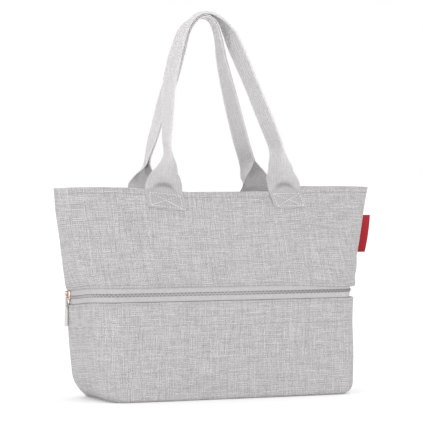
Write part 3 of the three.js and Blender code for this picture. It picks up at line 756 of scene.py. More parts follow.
# %% Face of an upper wall
STITCH_SET = 2.6 * MM  # from a turned edge to its line of stitches
HEM_SET = 7 * MM
STITCH_DIP = 0.35 * MM
STITCH_DIP_REACH = 1.3 * MM
OVERHANG = 4.2 * MM  # the lower edge covers more of the tape at the right
OVERHANG_REACH = (60 * MM, 170 * MM)
UPPER_LOW = UPPER_PANEL_BOTTOM + CLOTH / 2
UPPER_RIPPLE_SHIFT = 0.3  # metres along the seam, so that front and back ripple differently


def stitch_dip(away, line):
    """How far a line of stitches draws the cloth in."""
    return STITCH_DIP * np.exp(-(((away - line) / STITCH_DIP_REACH) ** 2))


def upper_face(column, height, side, inset=0.0):
    """Points on an upper wall at a height above the zip, before the zip's sag lets it down."""
    high = rim_height(column, side) - CLOTH / 2
    x, _, _, nd = wall_section(column, height)
    above = (height - UPPER_LOW).clip(0)
    below = (high - height).clip(0)
    lift = cloth_waves(x, height, side) * nd**2
    lift = lift + seam_ripple(ZIP_ARC[column] + UPPER_RIPPLE_SHIFT * side, np.minimum(above, below))
    lift = lift - stitch_dip(above, STITCH_SET) - stitch_dip(below, HEM_SET)
    drop = zip_sag(column, side) + OVERHANG * ease(x, *OVERHANG_REACH)
    drop = drop * np.clip((high - height) / (high - UPPER_LOW), 0, 1)
    return wall_points(column, height, side, inset, drop, lift)


hem_start = upper_face(all_columns, np.full(COLUMNS, UPPER_LOW), FRONT)
print("lower edge of the upper front from", hem_start[0].round(4), "to", hem_start[-1].round(4))


# %% Upper front and back
def upper_wall(name, node, side):
    """A wall above the zip, from its lower edge to the rim."""
    share, extra, inset, inner_rows = turned_profile()
    column = all_columns[:, None]
    high = rim_height(column, side) - CLOTH / 2
    height = blend(UPPER_LOW, high, share) + extra
    grid = upper_face(column, height, side, inset)
    places = thread_places(grid, blend(UPPER_LOW, high.mean(), share) + extra + inset)
    piece = skin(name, grid, places, [BODY_CLOTH, LINING], inner_rows)
    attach(piece, "bag")
    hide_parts(node)
    return piece


upper_front = upper_wall("upper_front_cloth", "upper_front_panel", FRONT)
upper_back = upper_wall("upper_back_cloth", "upper_back_panel", BACK)
print("upper walls", len(upper_front.data.polygons), "and", len(upper_back.data.polygons), "faces")

# %% [markdown]
# ## Lower walls
# The lower walls turn under at the rounded edge of a flat base. The edge is tight along the front and the
# back. Round the ends it is wider, most of all at the back corners, where the soft bag lifts off the floor.
# A Bevel modifier gives one radius everywhere, so the edge is worked out column by column. A base seam runs
# halfway round it.

# %% Rounded bottom edge
def edge_radius(column, side):
    """Radius of the bottom edge at each column."""
    _, depth, nx, _ = wall_section(column, 0.0)
    towards_back = (BASE_HALF_DEPTH + side * depth) / (2 * BASE_HALF_DEPTH)
    ends = np.where(nx > 0, blend(*RIGHT_EDGE_RADII, towards_back), blend(*LEFT_EDGE_RADII, towards_back))
    return blend(LONG_EDGE_RADIUS, ends, np.abs(nx))


def edge_points(column, angle, side, inset):
    """Points on the bottom edge: angle 0 is on the floor, a quarter turn is at the foot of the wall."""
    radius = edge_radius(column, side)
    reach = radius - inset
    points = wall_points(column, radius * np.ones_like(angle), side, radius - reach * np.sin(angle))
    points[..., 2] = radius - reach * np.cos(angle)
    return points


back_edge = edge_radius(all_columns, BACK)
print("bottom edge at the back", round(back_edge.min() / MM, 1), "to", round(back_edge.max() / MM, 1), "mm")

# %% Face of a lower wall
LOWER_HIGH = LOWER_PANEL_TOP - CLOTH / 2
LOWER_RIPPLE_SHIFT = 0.7  # metres along the seam
FOOT_FADE = 12 * MM  # ripples and dips fade out at the bottom edge


def lower_face(column, height, side, inset=0.0):
    """Points on a lower wall above its rounded edge."""
    foot = edge_radius(column, side)
    x, _, _, nd = wall_section(column, height)
    below = (LOWER_HIGH - height).clip(0)
    ripple = seam_ripple(ZIP_ARC[column] + LOWER_RIPPLE_SHIFT * side, below)
    lift = cloth_waves(x, height, side) * nd**2 + ripple
    lift = (lift - stitch_dip(below, STITCH_SET)) * ease(height - foot, 0, FOOT_FADE)
    drop = zip_sag(column, side) * np.clip((height - foot) / (LOWER_HIGH - foot), 0, 1)
    return wall_points(column, height, side, inset, drop, lift)


lower_top = lower_face(all_columns, np.full(COLUMNS, LOWER_HIGH), FRONT)
print("top edge of the lower front from", lower_top[0].round(4), "to", lower_top[-1].round(4))

# %% Lower front and back
EDGE_ROWS = 9
SEAM_CURL = math.radians(2.5)  # the lower edge curls under by this much


def lower_wall(name, node, side):
    """A wall below the zip, from the base seam round the edge and up to the zip."""
    share, extra, inset, inner_rows = turned_profile()
    kept = slice(0, FACE_ROWS + TURN_ROWS + LINING_ROWS)
    column = all_columns[:, None]
    height = blend(edge_radius(column, side), LOWER_HIGH, share) + extra
    walls = lower_face(column, height[:, kept], side, inset[kept])
    angle = np.linspace(BASE_SEAM_ANGLE + SEAM_CURL, math.pi / 2, EDGE_ROWS, endpoint=False)
    bend = np.linspace(0, math.pi, TURN_ROWS)[1:-1]
    curl_angle = BASE_SEAM_ANGLE + SEAM_CURL * (1 - np.sin(bend))
    level = np.ones((COLUMNS, 1))
    outer_edge = edge_points(column, angle * level, side, 0.0)
    inner_edge = edge_points(column, angle[::-1] * level, side, CLOTH)
    curl = edge_points(column, curl_angle * level, side, CLOTH / 2 * (1 + np.cos(bend)))
    grid = np.concatenate([outer_edge, walls, inner_edge, curl], axis=1)
    steps = np.linalg.norm(np.diff(grid, axis=1), axis=2)
    up = np.concatenate([np.zeros((COLUMNS, 1)), np.cumsum(steps, axis=1)], axis=1)
    top = EDGE_ROWS + FACE_ROWS - 1
    places = thread_places(grid, up - up[:, top : top + 1])
    # upright threads keep straight on round the edge
    places[:, :EDGE_ROWS, 0] = places[:, EDGE_ROWS, None, 0]
    lining = range(EDGE_ROWS + inner_rows.start, grid.shape[1])
    piece = skin(name, grid, places, [BODY_CLOTH, LINING], lining)
    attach(piece, "bag")
    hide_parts(node)
    return piece


lower_front = lower_wall("lower_front_cloth", "lower_front_panel", FRONT)
lower_back = lower_wall("lower_back_cloth", "lower_back_panel", BACK)
print("lower walls", len(lower_front.data.polygons), "and", len(lower_back.data.polygons), "faces")

# %% [markdown]
# ## Base
# The base is one flat panel, turned up at its edge to meet the lower walls in a seam. A filled outline
# would do for the flat part, but not for the rounded edge. So rings of points go from the seam down to the
# floor and in to the middle, once for the outside and once for the inside, and they are joined into one
# closed skin.

# %% Rings of the base
BASE_CLOTH = 2.4 * MM
BASE_SEAM_GAP = 0.8 * MM
BASE_SEAM_DEPTH = 0.5 * MM
BASE_EDGE_ROWS = 8
BASE_RINGS = 5
ring_columns = np.concatenate([all_columns, all_columns[1:-1][::-1]])
ring_sides = np.concatenate([np.full(COLUMNS, FRONT), np.full(COLUMNS - 2, BACK)])


def base_side(inset):
    """The base from its seam down to the floor and in to the middle, on the face (inset 0) or inside."""
    top = BASE_SEAM_ANGLE - BASE_SEAM_GAP / edge_radius(ring_columns, ring_sides)
    angle = top[:, None] * np.linspace(1, 0, BASE_EDGE_ROWS)[None, :]
    sunk = inset + (BASE_SEAM_DEPTH if inset == 0 else 0) * np.linspace(1, 0, BASE_EDGE_ROWS)[None, :] ** 2
    edge = edge_points(ring_columns[:, None], angle, ring_sides[:, None], sunk)
    middle = np.array([0, 0, inset])
    rings = [blend(edge[:, -1], middle, share) for share in np.linspace(0, 1, BASE_RINGS + 1)[1:-1]]
    return np.concatenate([edge] + [ring[:, None] for ring in rings], axis=1)


print("base rings", base_side(0.0).shape[1], "of", len(ring_columns), "points")


# %% Base panel
def base_cloth():
    """The base as one closed skin, with a point in the middle of each face."""
    outer = base_side(0.0)
    inner = base_side(BASE_CLOTH)[:, ::-1]
    grid = np.concatenate([outer, inner], axis=1)
    columns, rows = grid.shape[:2]
    points = np.concatenate([grid.reshape(-1, 3), [[0, 0, 0], [0, 0, BASE_CLOTH]]])
    half = outer.shape[1]
    faces = []
    chosen = []
    for i in range(columns):
        here = i * rows
        there = (i + 1) % columns * rows
        for j in [row for row in range(rows) if row != half - 1]:
            after = (j + 1) % rows
            faces.append([here + j, here + after, there + after, there + j])
            chosen.append(1 if half <= j < rows - 1 else 0)
        faces.append([here + half - 1, len(points) - 2, there + half - 1])
        faces.append([here + half, there + half, len(points) - 1])
        chosen.extend([0, 1])
    uvs = [points[v][:2] for face in faces for v in face]
    piece = add_piece("base_cloth", points, faces, [BODY_CLOTH, LINING], chosen, uvs)
    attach(piece, "bag")
    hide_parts("base_panel")
    return piece


base = base_cloth()
print("base", len(base.data.polygons), "faces")

# %% [markdown]
# ## The zip
# A coil zip runs right round the bag and joins the two halves. Each half of it is a woven tape, sewn behind
# the turned edge of a wall, and carries a row of nylon loops that grip the loops of the other half. The
# tapes could be strips bent along a curve, but they have to follow the walls closely. So each is a closed
# ring of the walls' own columns, set in from the face, and it sags where the zip sags.

# %% Tapes round the bag
TAPE_INSET = 2.2 * MM
TAPE_DRAW = 4.5 * MM  # the zip is drawn in at the right end
TAPE_DRAW_REACH = (0.35, 1.0)  # from this share of the outward way to the right
TAPE_THICKNESS = 1.1 * MM
TAPE_TUCK = 5 * MM
CHAIN_HALF = 1.2 * MM
RING_ARC = np.concatenate([ZIP_ARC, 2 * ZIP_ARC[-1] - ZIP_ARC[1:-1][::-1]])


def ring_points(column, height, side, inset):
    """Points of a ring round the bag that sags with the zip."""
    x, depth, nx, nd = wall_section(column, height)
    sag = np.where(side == FRONT, zip_sag(column, FRONT), zip_sag(column, BACK))
    inset = inset + TAPE_DRAW * ease(nx, *TAPE_DRAW_REACH)
    return np.stack([x - inset * nx, side * (depth - inset * nd), height - sag], axis=-1)


def zip_band(name, low, high, inset, thickness, material, rows=9):
    """A closed ring of cloth or cord round the bag between two heights."""
    share, extra, depth, _ = turned_profile(rows, rows, thickness)
    height = blend(low, high, share) + extra
    depths = inset + depth[None, :]
    grid = ring_points(ring_columns[:, None], height[None, :], ring_sides[:, None], depths)
    run = height + depth
    piece = skin(name, grid, skin_places(RING_ARC, run, ring=True), [material], ring=True)
    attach(piece, "bag")
    return piece


lower_reach = (LOWER_PANEL_TOP - TAPE_TUCK, CHAIN_HEIGHT - CHAIN_HALF)
upper_reach = (CHAIN_HEIGHT + CHAIN_HALF, UPPER_PANEL_BOTTOM + TAPE_TUCK)
lower_tape = zip_band("lower_zip_tape", *lower_reach, TAPE_INSET, TAPE_THICKNESS, ZIP_TAPE)
upper_tape = zip_band("upper_zip_tape", *upper_reach, TAPE_INSET, TAPE_THICKNESS, ZIP_TAPE)
for tape, node in ((lower_tape, "zip_tape_lower"), (upper_tape, "zip_tape_upper")):
    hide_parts(node)

# %% [markdown]
# ## Shade cord in the lower seam
# A thin darker line shows where the lower wall meets the tape, in the shade of its turned edge, and a dark
# cord is put there as painted shade. A stripe in the tape's material could stand for it, but a cord has a
# lit side and a shaded one. It is a thin ring, and the function for the tapes makes it.

# %% Shade cord below the zip
CORD = 0.35 * MM
CORD_THICKNESS = 0.5 * MM
CORD_GAP = 0.15 * MM
CORD_INSET = 1.6 * MM
cord_low = LOWER_PANEL_TOP + CORD_GAP
cord_reach = (cord_low, cord_low + CORD)
cord = zip_band("lower_seam_shade_cord", *cord_reach, CORD_INSET, CORD_THICKNESS, SEAM_SHADE_CORD, rows=3)
print("seam cord", len(cord.data.polygons), "faces")

# %% [markdown]
# ## Small pods: coil loops and stitches
# A coil loop and a stitch are the same shape at different sizes: a short rounded rod pressed into what it
# lies on. Copies of one rod could be linked as objects, but there would be well over a thousand of them. So
# one function makes many rods as one mesh, each with its own place, direction and up side.

# %% Pods
POD_RINGS = 7
POD_SIDES = 8
POD_TIP = 0.12  # girth of the blunt tips


def pods(name, centres, axes, normals, length, width, height, material, taper=0.0):
    """Rounded rods along the axes, with their flat way up along the normals. A taper narrows far ends."""
    axes = axes / np.linalg.norm(axes, axis=1, keepdims=True)
    normals = normals - (normals * axes).sum(1, keepdims=True) * axes
    normals = normals / np.linalg.norm(normals, axis=1, keepdims=True)
    across = np.cross(normals, axes)
    along = np.cos(np.linspace(math.pi, 0, POD_RINGS))
    girth = np.sqrt(np.clip(1 - along**4, 0, 1)) * (1 - taper * (1 + along) / 2)
    girth[[0, -1]] = POD_TIP
    turn = np.linspace(0, 2 * math.pi, POD_SIDES, endpoint=False)
    shape = np.stack(
        [
            np.repeat(along, POD_SIDES) * length / 2,
            np.outer(girth, np.cos(turn)).ravel() * width / 2,
            np.outer(girth, np.sin(turn)).ravel() * height / 2,
        ],
        axis=1,
    )
    ways = (axes, across, normals)
    points = centres[:, None] + sum(shape[None, :, k, None] * way[:, None] for k, way in enumerate(ways))
    first_ring = list(range(POD_SIDES))
    last_ring = [(POD_RINGS - 1) * POD_SIDES + j for j in first_ring]
    pod_faces = [first_ring[::-1], last_ring]
    for i in range(POD_RINGS - 1):
        low = i * POD_SIDES
        high = low + POD_SIDES
        for j in first_ring:
            after = (j + 1) % POD_SIDES
            pod_faces.append([low + j, low + after, high + after, high + j])
    size = POD_RINGS * POD_SIDES
    faces = [[v + k * size for v in face] for k in range(len(centres)) for face in pod_faces]
    piece = add_piece(name, points.reshape(-1, 3), faces, [material])
    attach(piece, "bag")
    return piece


print("points in a pod", POD_RINGS * POD_SIDES)


# %% Places along a line
NEAR_SHARE = 0.1  # share of the gap over which the direction is measured


def spaced(points, gap, start=0.0):
    """Places along a line of points at an even gap, with the direction of the line there."""
    arc = running(np.linalg.norm(np.diff(points, axis=0), axis=1))
    places = np.arange(start + gap / 2, arc[-1], gap)

    def at(distances):
        return np.stack([np.interp(distances, arc, points[:, k]) for k in range(3)], axis=1)

    near = gap * NEAR_SHARE
    return at(places), at(places + near) - at(places - near)


one_metre = np.array([[0.0, 0, 0], [1.0, 0, 0]])
print("places on one metre, 4 mm apart", len(spaced(one_metre, 4 * MM)[0]))

# %% [markdown]
# ## Coil loops
# The teeth of a coil zip are the loops of one long nylon spiral, and the two rows grip in turn. The spiral
# could be swept along the zip, but only the fronts of its loops show. So a darker grey bed runs round the
# bag between the tapes, as painted shade in the gaps between the loops and along the chain's edges, and two
# rows of flattened pods lie on it, half a step apart, with their narrow ends outwards. The loops under the
# slider are left out.

# %% Bed and loops
COIL_PITCH = 5.4 * MM
LOOP_LENGTH = 2.5 * MM
LOOP_WIDTH = 5.0 * MM
LOOP_TAPER = 0.48
LOOP_HEIGHT = 1.5 * MM
BED_INSET = 1.7 * MM
BED_LOW = 1.6 * MM
BED_HIGH = 1.8 * MM
BED_THICKNESS = 0.9 * MM
LOOP_INSET = 1.4 * MM
LOOP_SET = 0.7 * MM  # how far a row stands from the middle of the chain
SLIDER_CLEAR = 8 * MM

# the bed is painted shade between the loops and along the chain's edges
bed_reach = (CHAIN_HEIGHT - BED_LOW, CHAIN_HEIGHT + BED_HIGH)
bed = zip_band("coil_bed", *bed_reach, BED_INSET, BED_THICKNESS, COIL_GAP_SHADE, rows=4)
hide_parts("zip_chain")


def closed(line):
    """A line that comes back to its first point."""
    return np.concatenate([line, line[:1]])


def length_of(line):
    """Length of a line of points."""
    return np.linalg.norm(np.diff(line, axis=0), axis=1).sum()


def coil_row(name, row):
    """One row of loops, above (1) or below (-1) the middle of the chain."""
    line = closed(ring_points(ring_columns, CHAIN_HEIGHT + row * LOOP_SET, ring_sides, LOOP_INSET))
    outer = closed(ring_points(ring_columns, CHAIN_HEIGHT + row * LOOP_SET, ring_sides, 0.0))
    start = COIL_PITCH / 2 if row > 0 else 0.0
    centres, _ = spaced(line, COIL_PITCH, start)
    outside, _ = spaced(outer, COIL_PITCH * length_of(outer) / length_of(line), start)
    count = min(len(centres), len(outside))
    out = outside[:count] - centres[:count]
    centres = centres[:count]
    slider = np.array([-ZIP_HALF_LENGTH, SLIDER_ARC, CHAIN_HEIGHT - SLIDER_DIP])
    kept = np.linalg.norm(centres - slider, axis=1) > SLIDER_CLEAR
    upright = np.tile([0, 0, float(row)], (count, 1))
    size = (LOOP_LENGTH, LOOP_WIDTH, LOOP_HEIGHT)
    piece = pods(name, centres[kept], upright[kept], out[kept], *size, COIL_NYLON, LOOP_TAPER)
    return int(kept.sum())


print("coil loops", coil_row("lower_coil", -1), coil_row("upper_coil", 1))

# %% [markdown]
# ## Handles
# Each handle is one length of wide webbing. Its two feet lie flat on the wall, and between them the webbing
# is folded in half along its length with the fold outwards, so the limbs are narrow and deep. A curve with
# a bevel profile could draw them, but its profile can't fold on the way. So a folding profile is carried
# along a smooth line: at each place a table gives the fold's own line, how far it is folded, and which way
# the open edges point.

# %% Table of the front handle's line
WEB_HALF_WIDTH = 25 * MM
WEB_THICKNESS = 1.6 * MM
FOLD_RADIUS = 0.95 * MM
SOFT_FOLD_RADIUS = 11 * MM  # where the webbing is only half folded
FOOT_LIFT = 0.2 * MM
ON_WALL = None

# x, distance out from the middle plane, height (mm), share folded, turn of the open edges (degrees)
FRONT_LINE = [
    (-88, ON_WALL, 250, 0, 0),
    (-88.8, ON_WALL, 264, 0, 0),
    (-89.4, ON_WALL, 276, 0.03, -5),
    (-87.5, 37.3, 285, 0.18, -10),
    (-84.3, 38.2, 297, 0.53, -15),
    (-81.1, 37.6, 306, 0.71, -16),
    (-79.4, 36.3, 319, 0.86, -17),
    (-79.2, 35, 330, 0.97, -10),
    (-78.3, 33.6, 342, 1, -3),
    (-74.3, 31, 366, 1, 5),
    (-70.3, 28, 402, 1, 13),
    (-62.5, 23.2, 433, 1, 15),
    (-52.9, 18, 462, 1, 12),
    (-42.5, 14.5, 488.9, 1, 2),
    (-27, 13, 505.8, 1, -18),
    (-9, 12.5, 508.3, 1, -23),
    (8, 13, 501, 1, -9),
    (22, 14.5, 489, 1, 16),
    (33.8, 18, 468.6, 1, 26),
    (53.9, 25.5, 418, 1, 23),
    (73.4, 30.8, 370, 1, 26),
    (84.9, 33, 340, 1, 21),
    (88.2, 34.3, 326, 0.9, 12),
    (89.4, 36.5, 312, 0.66, -2),
    (89, 38, 298, 0.53, -4),
    (88.4, 37.4, 286, 0.24, -2),
    (88.5, ON_WALL, 276, 0.03, 0),
    (91.5, ON_WALL, 264, 0, 0),
    (96, ON_WALL, 250, 0, 0),
]
print("rows in the front table", len(FRONT_LINE))

# %% Table of the back handle's line
BACK_LINE = [
    (-82.5, ON_WALL, 252, 0, 0),
    (-83, ON_WALL, 264, 0, 0),
    (-84, ON_WALL, 275, 0.04, 0),
    (-86, 37.5, 286, 0.4, -4),
    (-85.4, 37.6, 297, 0.74, -10),
    (-83.9, 36.4, 307, 0.93, -13),
    (-82.2, 34.7, 320, 1, -11),
    (-79.2, 33, 342, 1, 1),
    (-72.4, 31.4, 368, 1, 5),
    (-66.9, 29.2, 394, 1, 13),
    (-59, 26, 420, 1, 17),
    (-48, 18.2, 455.7, 1, 8),
    (-35.4, 14.4, 482.9, 1, -9),
    (-22, 13, 497.7, 1, -20),
    (-9.5, 12.5, 503, 1, -17),
    (2, 13, 496.6, 1, -9),
    (10, 14.5, 476.1, 1, -5),
    (16.7, 21, 444, 1, 6),
    (29.7, 28.6, 398, 1, 20),
    (45, 33, 346, 1, 28),
    (51.5, 34.8, 328, 1, 28),
    (56.5, 36.2, 315, 1, 28),
    (59.5, 37.2, 306, 0.9, 27),
    (63.2, 38, 298, 0.72, 23),
    (67.5, 38.3, 290, 0.52, 18),
    (74.5, 37.5, 282.5, 0.22, 8),
    (81.5, ON_WALL, 275, 0.02, 0),
    (84, ON_WALL, 264, 0, 0),
    (86, ON_WALL, 252, 0, 0),
]
FOOT_SLANTS = {FRONT: (6.7, 0.0), BACK: (0.0, 0.0)}  # slope of each foot's lower edge, in degrees
print("rows in the back table", len(BACK_LINE))

# %% A smooth line through the table
LINE_STEPS = 13


def smooth_line(knots):
    """Catmull-Rom curve through the rows of knots, evenly divided between each pair."""
    padded = np.concatenate([[2 * knots[0] - knots[1]], knots, [2 * knots[-1] - knots[-2]]])
    rows = []
    for i in range(1, len(padded) - 2):
        p0, p1, p2, p3 = padded[i - 1 : i + 3]
        square = 2 * p0 - 5 * p1 + 4 * p2 - p3
        cube = 3 * (p1 - p2) + p3 - p0
        for t in np.linspace(0, 1, LINE_STEPS, endpoint=False):
            rows.append(p1 + 0.5 * t * (p2 - p0 + t * (square + t * cube)))
    rows.append(knots[-1])
    return np.array(rows)


def handle_line(table, side):
    """The fold's line, with the share folded and the turn of the open edges at each point."""
    knots = []
    for x, out, height, fold, turn in table:
        depth = wall_depth_at(x * MM, np.array(height * MM)) + FOOT_LIFT + WEB_THICKNESS / 2
        knots.append((x * MM, depth if out is ON_WALL else out * MM, height * MM, fold, math.radians(turn)))
    rows = smooth_line(np.array(knots, float))
    line = np.stack([rows[:, 0], side * rows[:, 1], rows[:, 2]], axis=1)
    return line, np.clip(rows[:, 3], 0, 1), rows[:, 4]


print("points on the front line", len(handle_line(FRONT_LINE, FRONT)[0]))

# %% [markdown]
# ## A profile that folds
# Webbing has ribs along its length and a thicker selvedge at each edge. Its cut is a flat ring of points,
# and a share from 0 to 1 says how far that ring is folded. Two layers could be modelled side by side, but
# then the feet, where the fold opens out, would need another mesh. Here both halves turn about the fold,
# with a wide bend where the webbing is half open and a tight one where it is closed.

# %% Folding profile
WEB_COLUMNS = 57
EDGE_COLUMNS = 5
RIB_HEIGHT = 0.26 * MM
SELVEDGE_HEIGHT = 0.22 * MM
RIB_FADE = (0.9, 0.94)  # shares of the half width
SELVEDGE_RISE = (0.92, 0.95)
SELVEDGE_FALL = (0.985, 1.0)
FOLD_TIGHTENS = (0.45, 1.0)  # shares folded between which the bend grows tight
CLOSED_ANGLE = math.radians(0.1)


def web_ring():
    """Places round the webbing's cut: across from -1 to 1, and out from its middle, for faces and edges."""
    across = np.linspace(-1, 1, WEB_COLUMNS)
    reach = np.abs(across)
    ribs = RIB_HEIGHT * np.cos(math.pi * RIBS * across) * (1 - ease(reach, *RIB_FADE))
    selvedge = SELVEDGE_HEIGHT * ease(reach, *SELVEDGE_RISE) * (1 - ease(reach, *SELVEDGE_FALL))
    face = WEB_THICKNESS / 2 + ribs + selvedge
    bend = np.linspace(math.pi / 2, -math.pi / 2, EDGE_COLUMNS + 2)[1:-1]
    edge_across = 1 + WEB_THICKNESS / 2 * np.cos(bend) / WEB_HALF_WIDTH
    edge_out = WEB_THICKNESS / 2 * np.sin(bend)
    ring_across = np.concatenate([across, edge_across, across[::-1], -edge_across])
    ring_out = np.concatenate([face, edge_out, np.full(WEB_COLUMNS, -WEB_THICKNESS / 2), -edge_out])
    return ring_across, ring_out


def folded_profile(ring_across, ring_out, fold):
    """Offsets across and inwards of the webbing's cut when it is folded by each share."""
    reach = np.abs(ring_across)[None, :] * WEB_HALF_WIDTH
    bend = (math.pi / 2 - CLOSED_ANGLE) * fold[:, None]
    radius = blend(SOFT_FOLD_RADIUS, FOLD_RADIUS, ease(fold, *FOLD_TIGHTENS))[:, None]
    on_arc = np.minimum(reach, radius * bend)
    angle = on_arc / radius
    straight = reach - on_arc
    across = radius * np.sin(angle) + straight * np.cos(angle)
    inwards = radius * (1 - np.cos(angle)) + straight * np.sin(angle)
    across = across + ring_out[None, :] * np.sin(angle)
    inwards = inwards - ring_out[None, :] * np.cos(angle)
    return np.sign(ring_across)[None, :] * across, inwards


flat_and_folded = folded_profile(*web_ring(), np.array([0.0, 1.0]))[0]
print("webbing is", np.ptp(flat_and_folded, axis=1).round(4), "m wide when flat and when folded")

# %% [markdown]
# ## Feet of the handles
# The sewn feet lie flat on the wall. A painted shade makes them darker than the free webbing, and another
# painted shade lies in the crease where they bend over the rim. Both could be painted on a picture, but the
# shade only depends on height and on the place across. So it is written on the points, as an attribute
# called foot, and the webbing's material reads it. The larger swells and dents are real shape.

# %% Shade and swells of the feet
FOOT_SHADE_REACH = (280 * MM, 345 * MM)  # painted shade on the feet fades out between these heights
# painted shade on the inner faces of the left and right feet, where that of the outer faces is 1
INNER_FOOT_SHADE = {FRONT: (1.0, 1.0), BACK: (0.0, 1.2)}
CREASE_SHADE = 1.15  # painted shade in the crease where the outer faces bend over the rim
CREASE_HEIGHT = 281.5 * MM
CREASE_ARCH = 6 * MM  # the crease is this much lower at its ends
CREASE_REACH = 3.4 * MM
CREASE_SHARE = 0.6
# height, how far out, reach up and down and reach across of the swells where a foot leaves the rim
FOOT_SWELLS = [
    (292 * MM, 5.2 * MM, 6.5 * MM, 0.55),
    (281 * MM, -2.0 * MM, 4 * MM, 0.55),
    (262 * MM, 0.5 * MM, 6 * MM, 0.6),
]


def unit(vectors):
    """Vectors of length 1."""
    return vectors / np.linalg.norm(vectors, axis=-1, keepdims=True)


def foot_shade(height, first, ring_across, ring_out, side):
    """Painted shade at each place on a foot: low on the foot, and in the crease over the rim."""
    outer = (ring_out > 0)[None, :]
    left, right = INNER_FOOT_SHADE[side]
    inner_shade = np.where(first, left, right)[:, None]
    painted_shade = np.where(outer, 1.0, inner_shade) * (1 - ease(height, *FOOT_SHADE_REACH))[:, None]
    across = ring_across[None, :] / CREASE_SHARE
    from_crease = (height[:, None] - CREASE_HEIGHT + CREASE_ARCH * across**2) / CREASE_REACH
    return painted_shade + CREASE_SHADE * outer * np.exp(-(from_crease**2) - across**4)


print("swells and dents on each foot", len(FOOT_SWELLS))

# %% [markdown]
# ## Webbing along its line
# At each place on the line the profile needs three ways: along the line, into the fold, and across the
# webbing. A curve object finds its own, but it can't be told that the feet lie level and flat on the wall.
# So they are worked out here: near the feet the way across turns level, and the webbing settles on the
# waves of the cloth.

# %% Handles along their lines
HIGH_LEVEL = (284 * MM, 326 * MM)  # between these heights the webbing turns from level to across its line
LOW_LEVEL = (256 * MM, 292 * MM)
LEVEL_REACHES = {FRONT: (HIGH_LEVEL, HIGH_LEVEL), BACK: (HIGH_LEVEL, LOW_LEVEL)}
OFF_WALL_REACH = (274 * MM, 290 * MM)


def handle(name, node, table, side):
    """One handle. Gives back its outer face and the run of its line, for the stitches."""
    line, fold, turn = handle_line(table, side)
    tangent = unit(np.gradient(line, axis=0))
    into = np.stack([side * np.sin(turn), -side * np.cos(turn), np.zeros(len(turn))], axis=1)
    into = unit(into - (into * tangent).sum(1, keepdims=True) * tangent)
    across = np.cross(tangent, into)
    first = np.arange(len(line)) < len(line) // 2
    slant = np.radians(np.where(first, FOOT_SLANTS[side][0], FOOT_SLANTS[side][1]))
    forward = np.sign(across[:, :1])
    level = forward * np.stack([np.cos(slant), np.zeros(len(slant)), -np.sin(slant)], axis=1)
    left_free, right_free = (ease(line[:, 2], *reach) for reach in LEVEL_REACHES[side])
    free = np.where(first, left_free, right_free)[:, None]
    across = unit(blend(level, across, free))
    ring_across, ring_out = web_ring()
    sideways, inwards = folded_profile(ring_across, ring_out, fold)
    grid = line[:, None] + sideways[..., None] * across[:, None] + inwards[..., None] * into[:, None]
    on_wall = 1 - ease(line[:, 2], *OFF_WALL_REACH)[:, None]
    wall_height = np.minimum(grid[..., 2], RIM_HEIGHT)
    depth = wall_depth_at(grid[..., 0], wall_height) + cloth_waves(grid[..., 0], wall_height, side)
    on_cloth = side * (depth + FOOT_LIFT + WEB_THICKNESS / 2 + ring_out[None, :])
    grid[..., 1] = blend(grid[..., 1], on_cloth, on_wall)
    for height, out, reach, share in FOOT_SWELLS:
        upwards = np.exp(-(((line[:, 2] - height) / reach) ** 2))[:, None]
        grid[..., 1] += side * out * (upwards * np.exp(-((ring_across / share) ** 2)))
    steps = running(np.linalg.norm(np.diff(line, axis=0), axis=1))
    ring_run = running(np.hypot(np.diff(ring_across) * WEB_HALF_WIDTH, np.diff(ring_out)))
    places = skin_places(steps, ring_run)
    piece = skin(name, grid, places, [WEBBING])
    # the foot attribute holds painted shade for the webbing's material
    painted_shade = piece.data.attributes.new("foot", "FLOAT", "POINT")
    shade = foot_shade(line[:, 2], first, ring_across, ring_out, side)
    painted_shade.data.foreach_set("value", shade.ravel())
    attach(piece, "bag")
    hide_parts(node)
    print(name, "length", round(float(steps[-1]), 3), "m,", len(piece.data.polygons), "faces")
    return grid[:, :WEB_COLUMNS], steps


front_face, front_run = handle("front_handle", "handle_front", FRONT_LINE, FRONT)
back_face, back_run = handle("back_handle", "handle_back", BACK_LINE, BACK)

# %% [markdown]
# ## Stitching
# A box with a cross of thread holds each foot of a handle to its wall. Stitches could be painted, but real
# ones stand proud and catch the light. So each stitch is one small pod, placed along lines on the finished
# face of the webbing, and a smaller dark pod is painted shade in the needle hole between two stitches.

# %% Box and cross on each foot
BOX_SHARE = 0.84
BOX_LOW = 2.6 * MM
BOX_HIGH = 20 * MM
FOOT_STITCH = 3.6 * MM
FOOT_STITCH_GAP = 3.9 * MM
THREAD_WIDTH = 0.9 * MM
THREAD_HEIGHT = 0.9 * MM
HOLE_SIZE = 0.7 * MM
FOOT_TILT = 0.25  # the feet face a little upwards
LINE_POINTS = 60
BOX = [(-1, 0), (1, 0), (1, 1), (-1, 1), (-1, 0)]
CROSS = [[(-1, 0), (1, 1)], [(-1, 1), (1, 0)]]


def on_foot(face, run, share, distance):
    """Points on a foot's outer face at shares across it and distances from its lower edge."""
    columns = np.linspace(-1, 1, WEB_COLUMNS)
    found = []
    for u, d in zip(share, distance):
        level = [[np.interp(d, run, face[:, j, k]) for j in range(WEB_COLUMNS)] for k in range(3)]
        found.append([np.interp(u, columns, level[k]) for k in range(3)])
    return np.array(found)


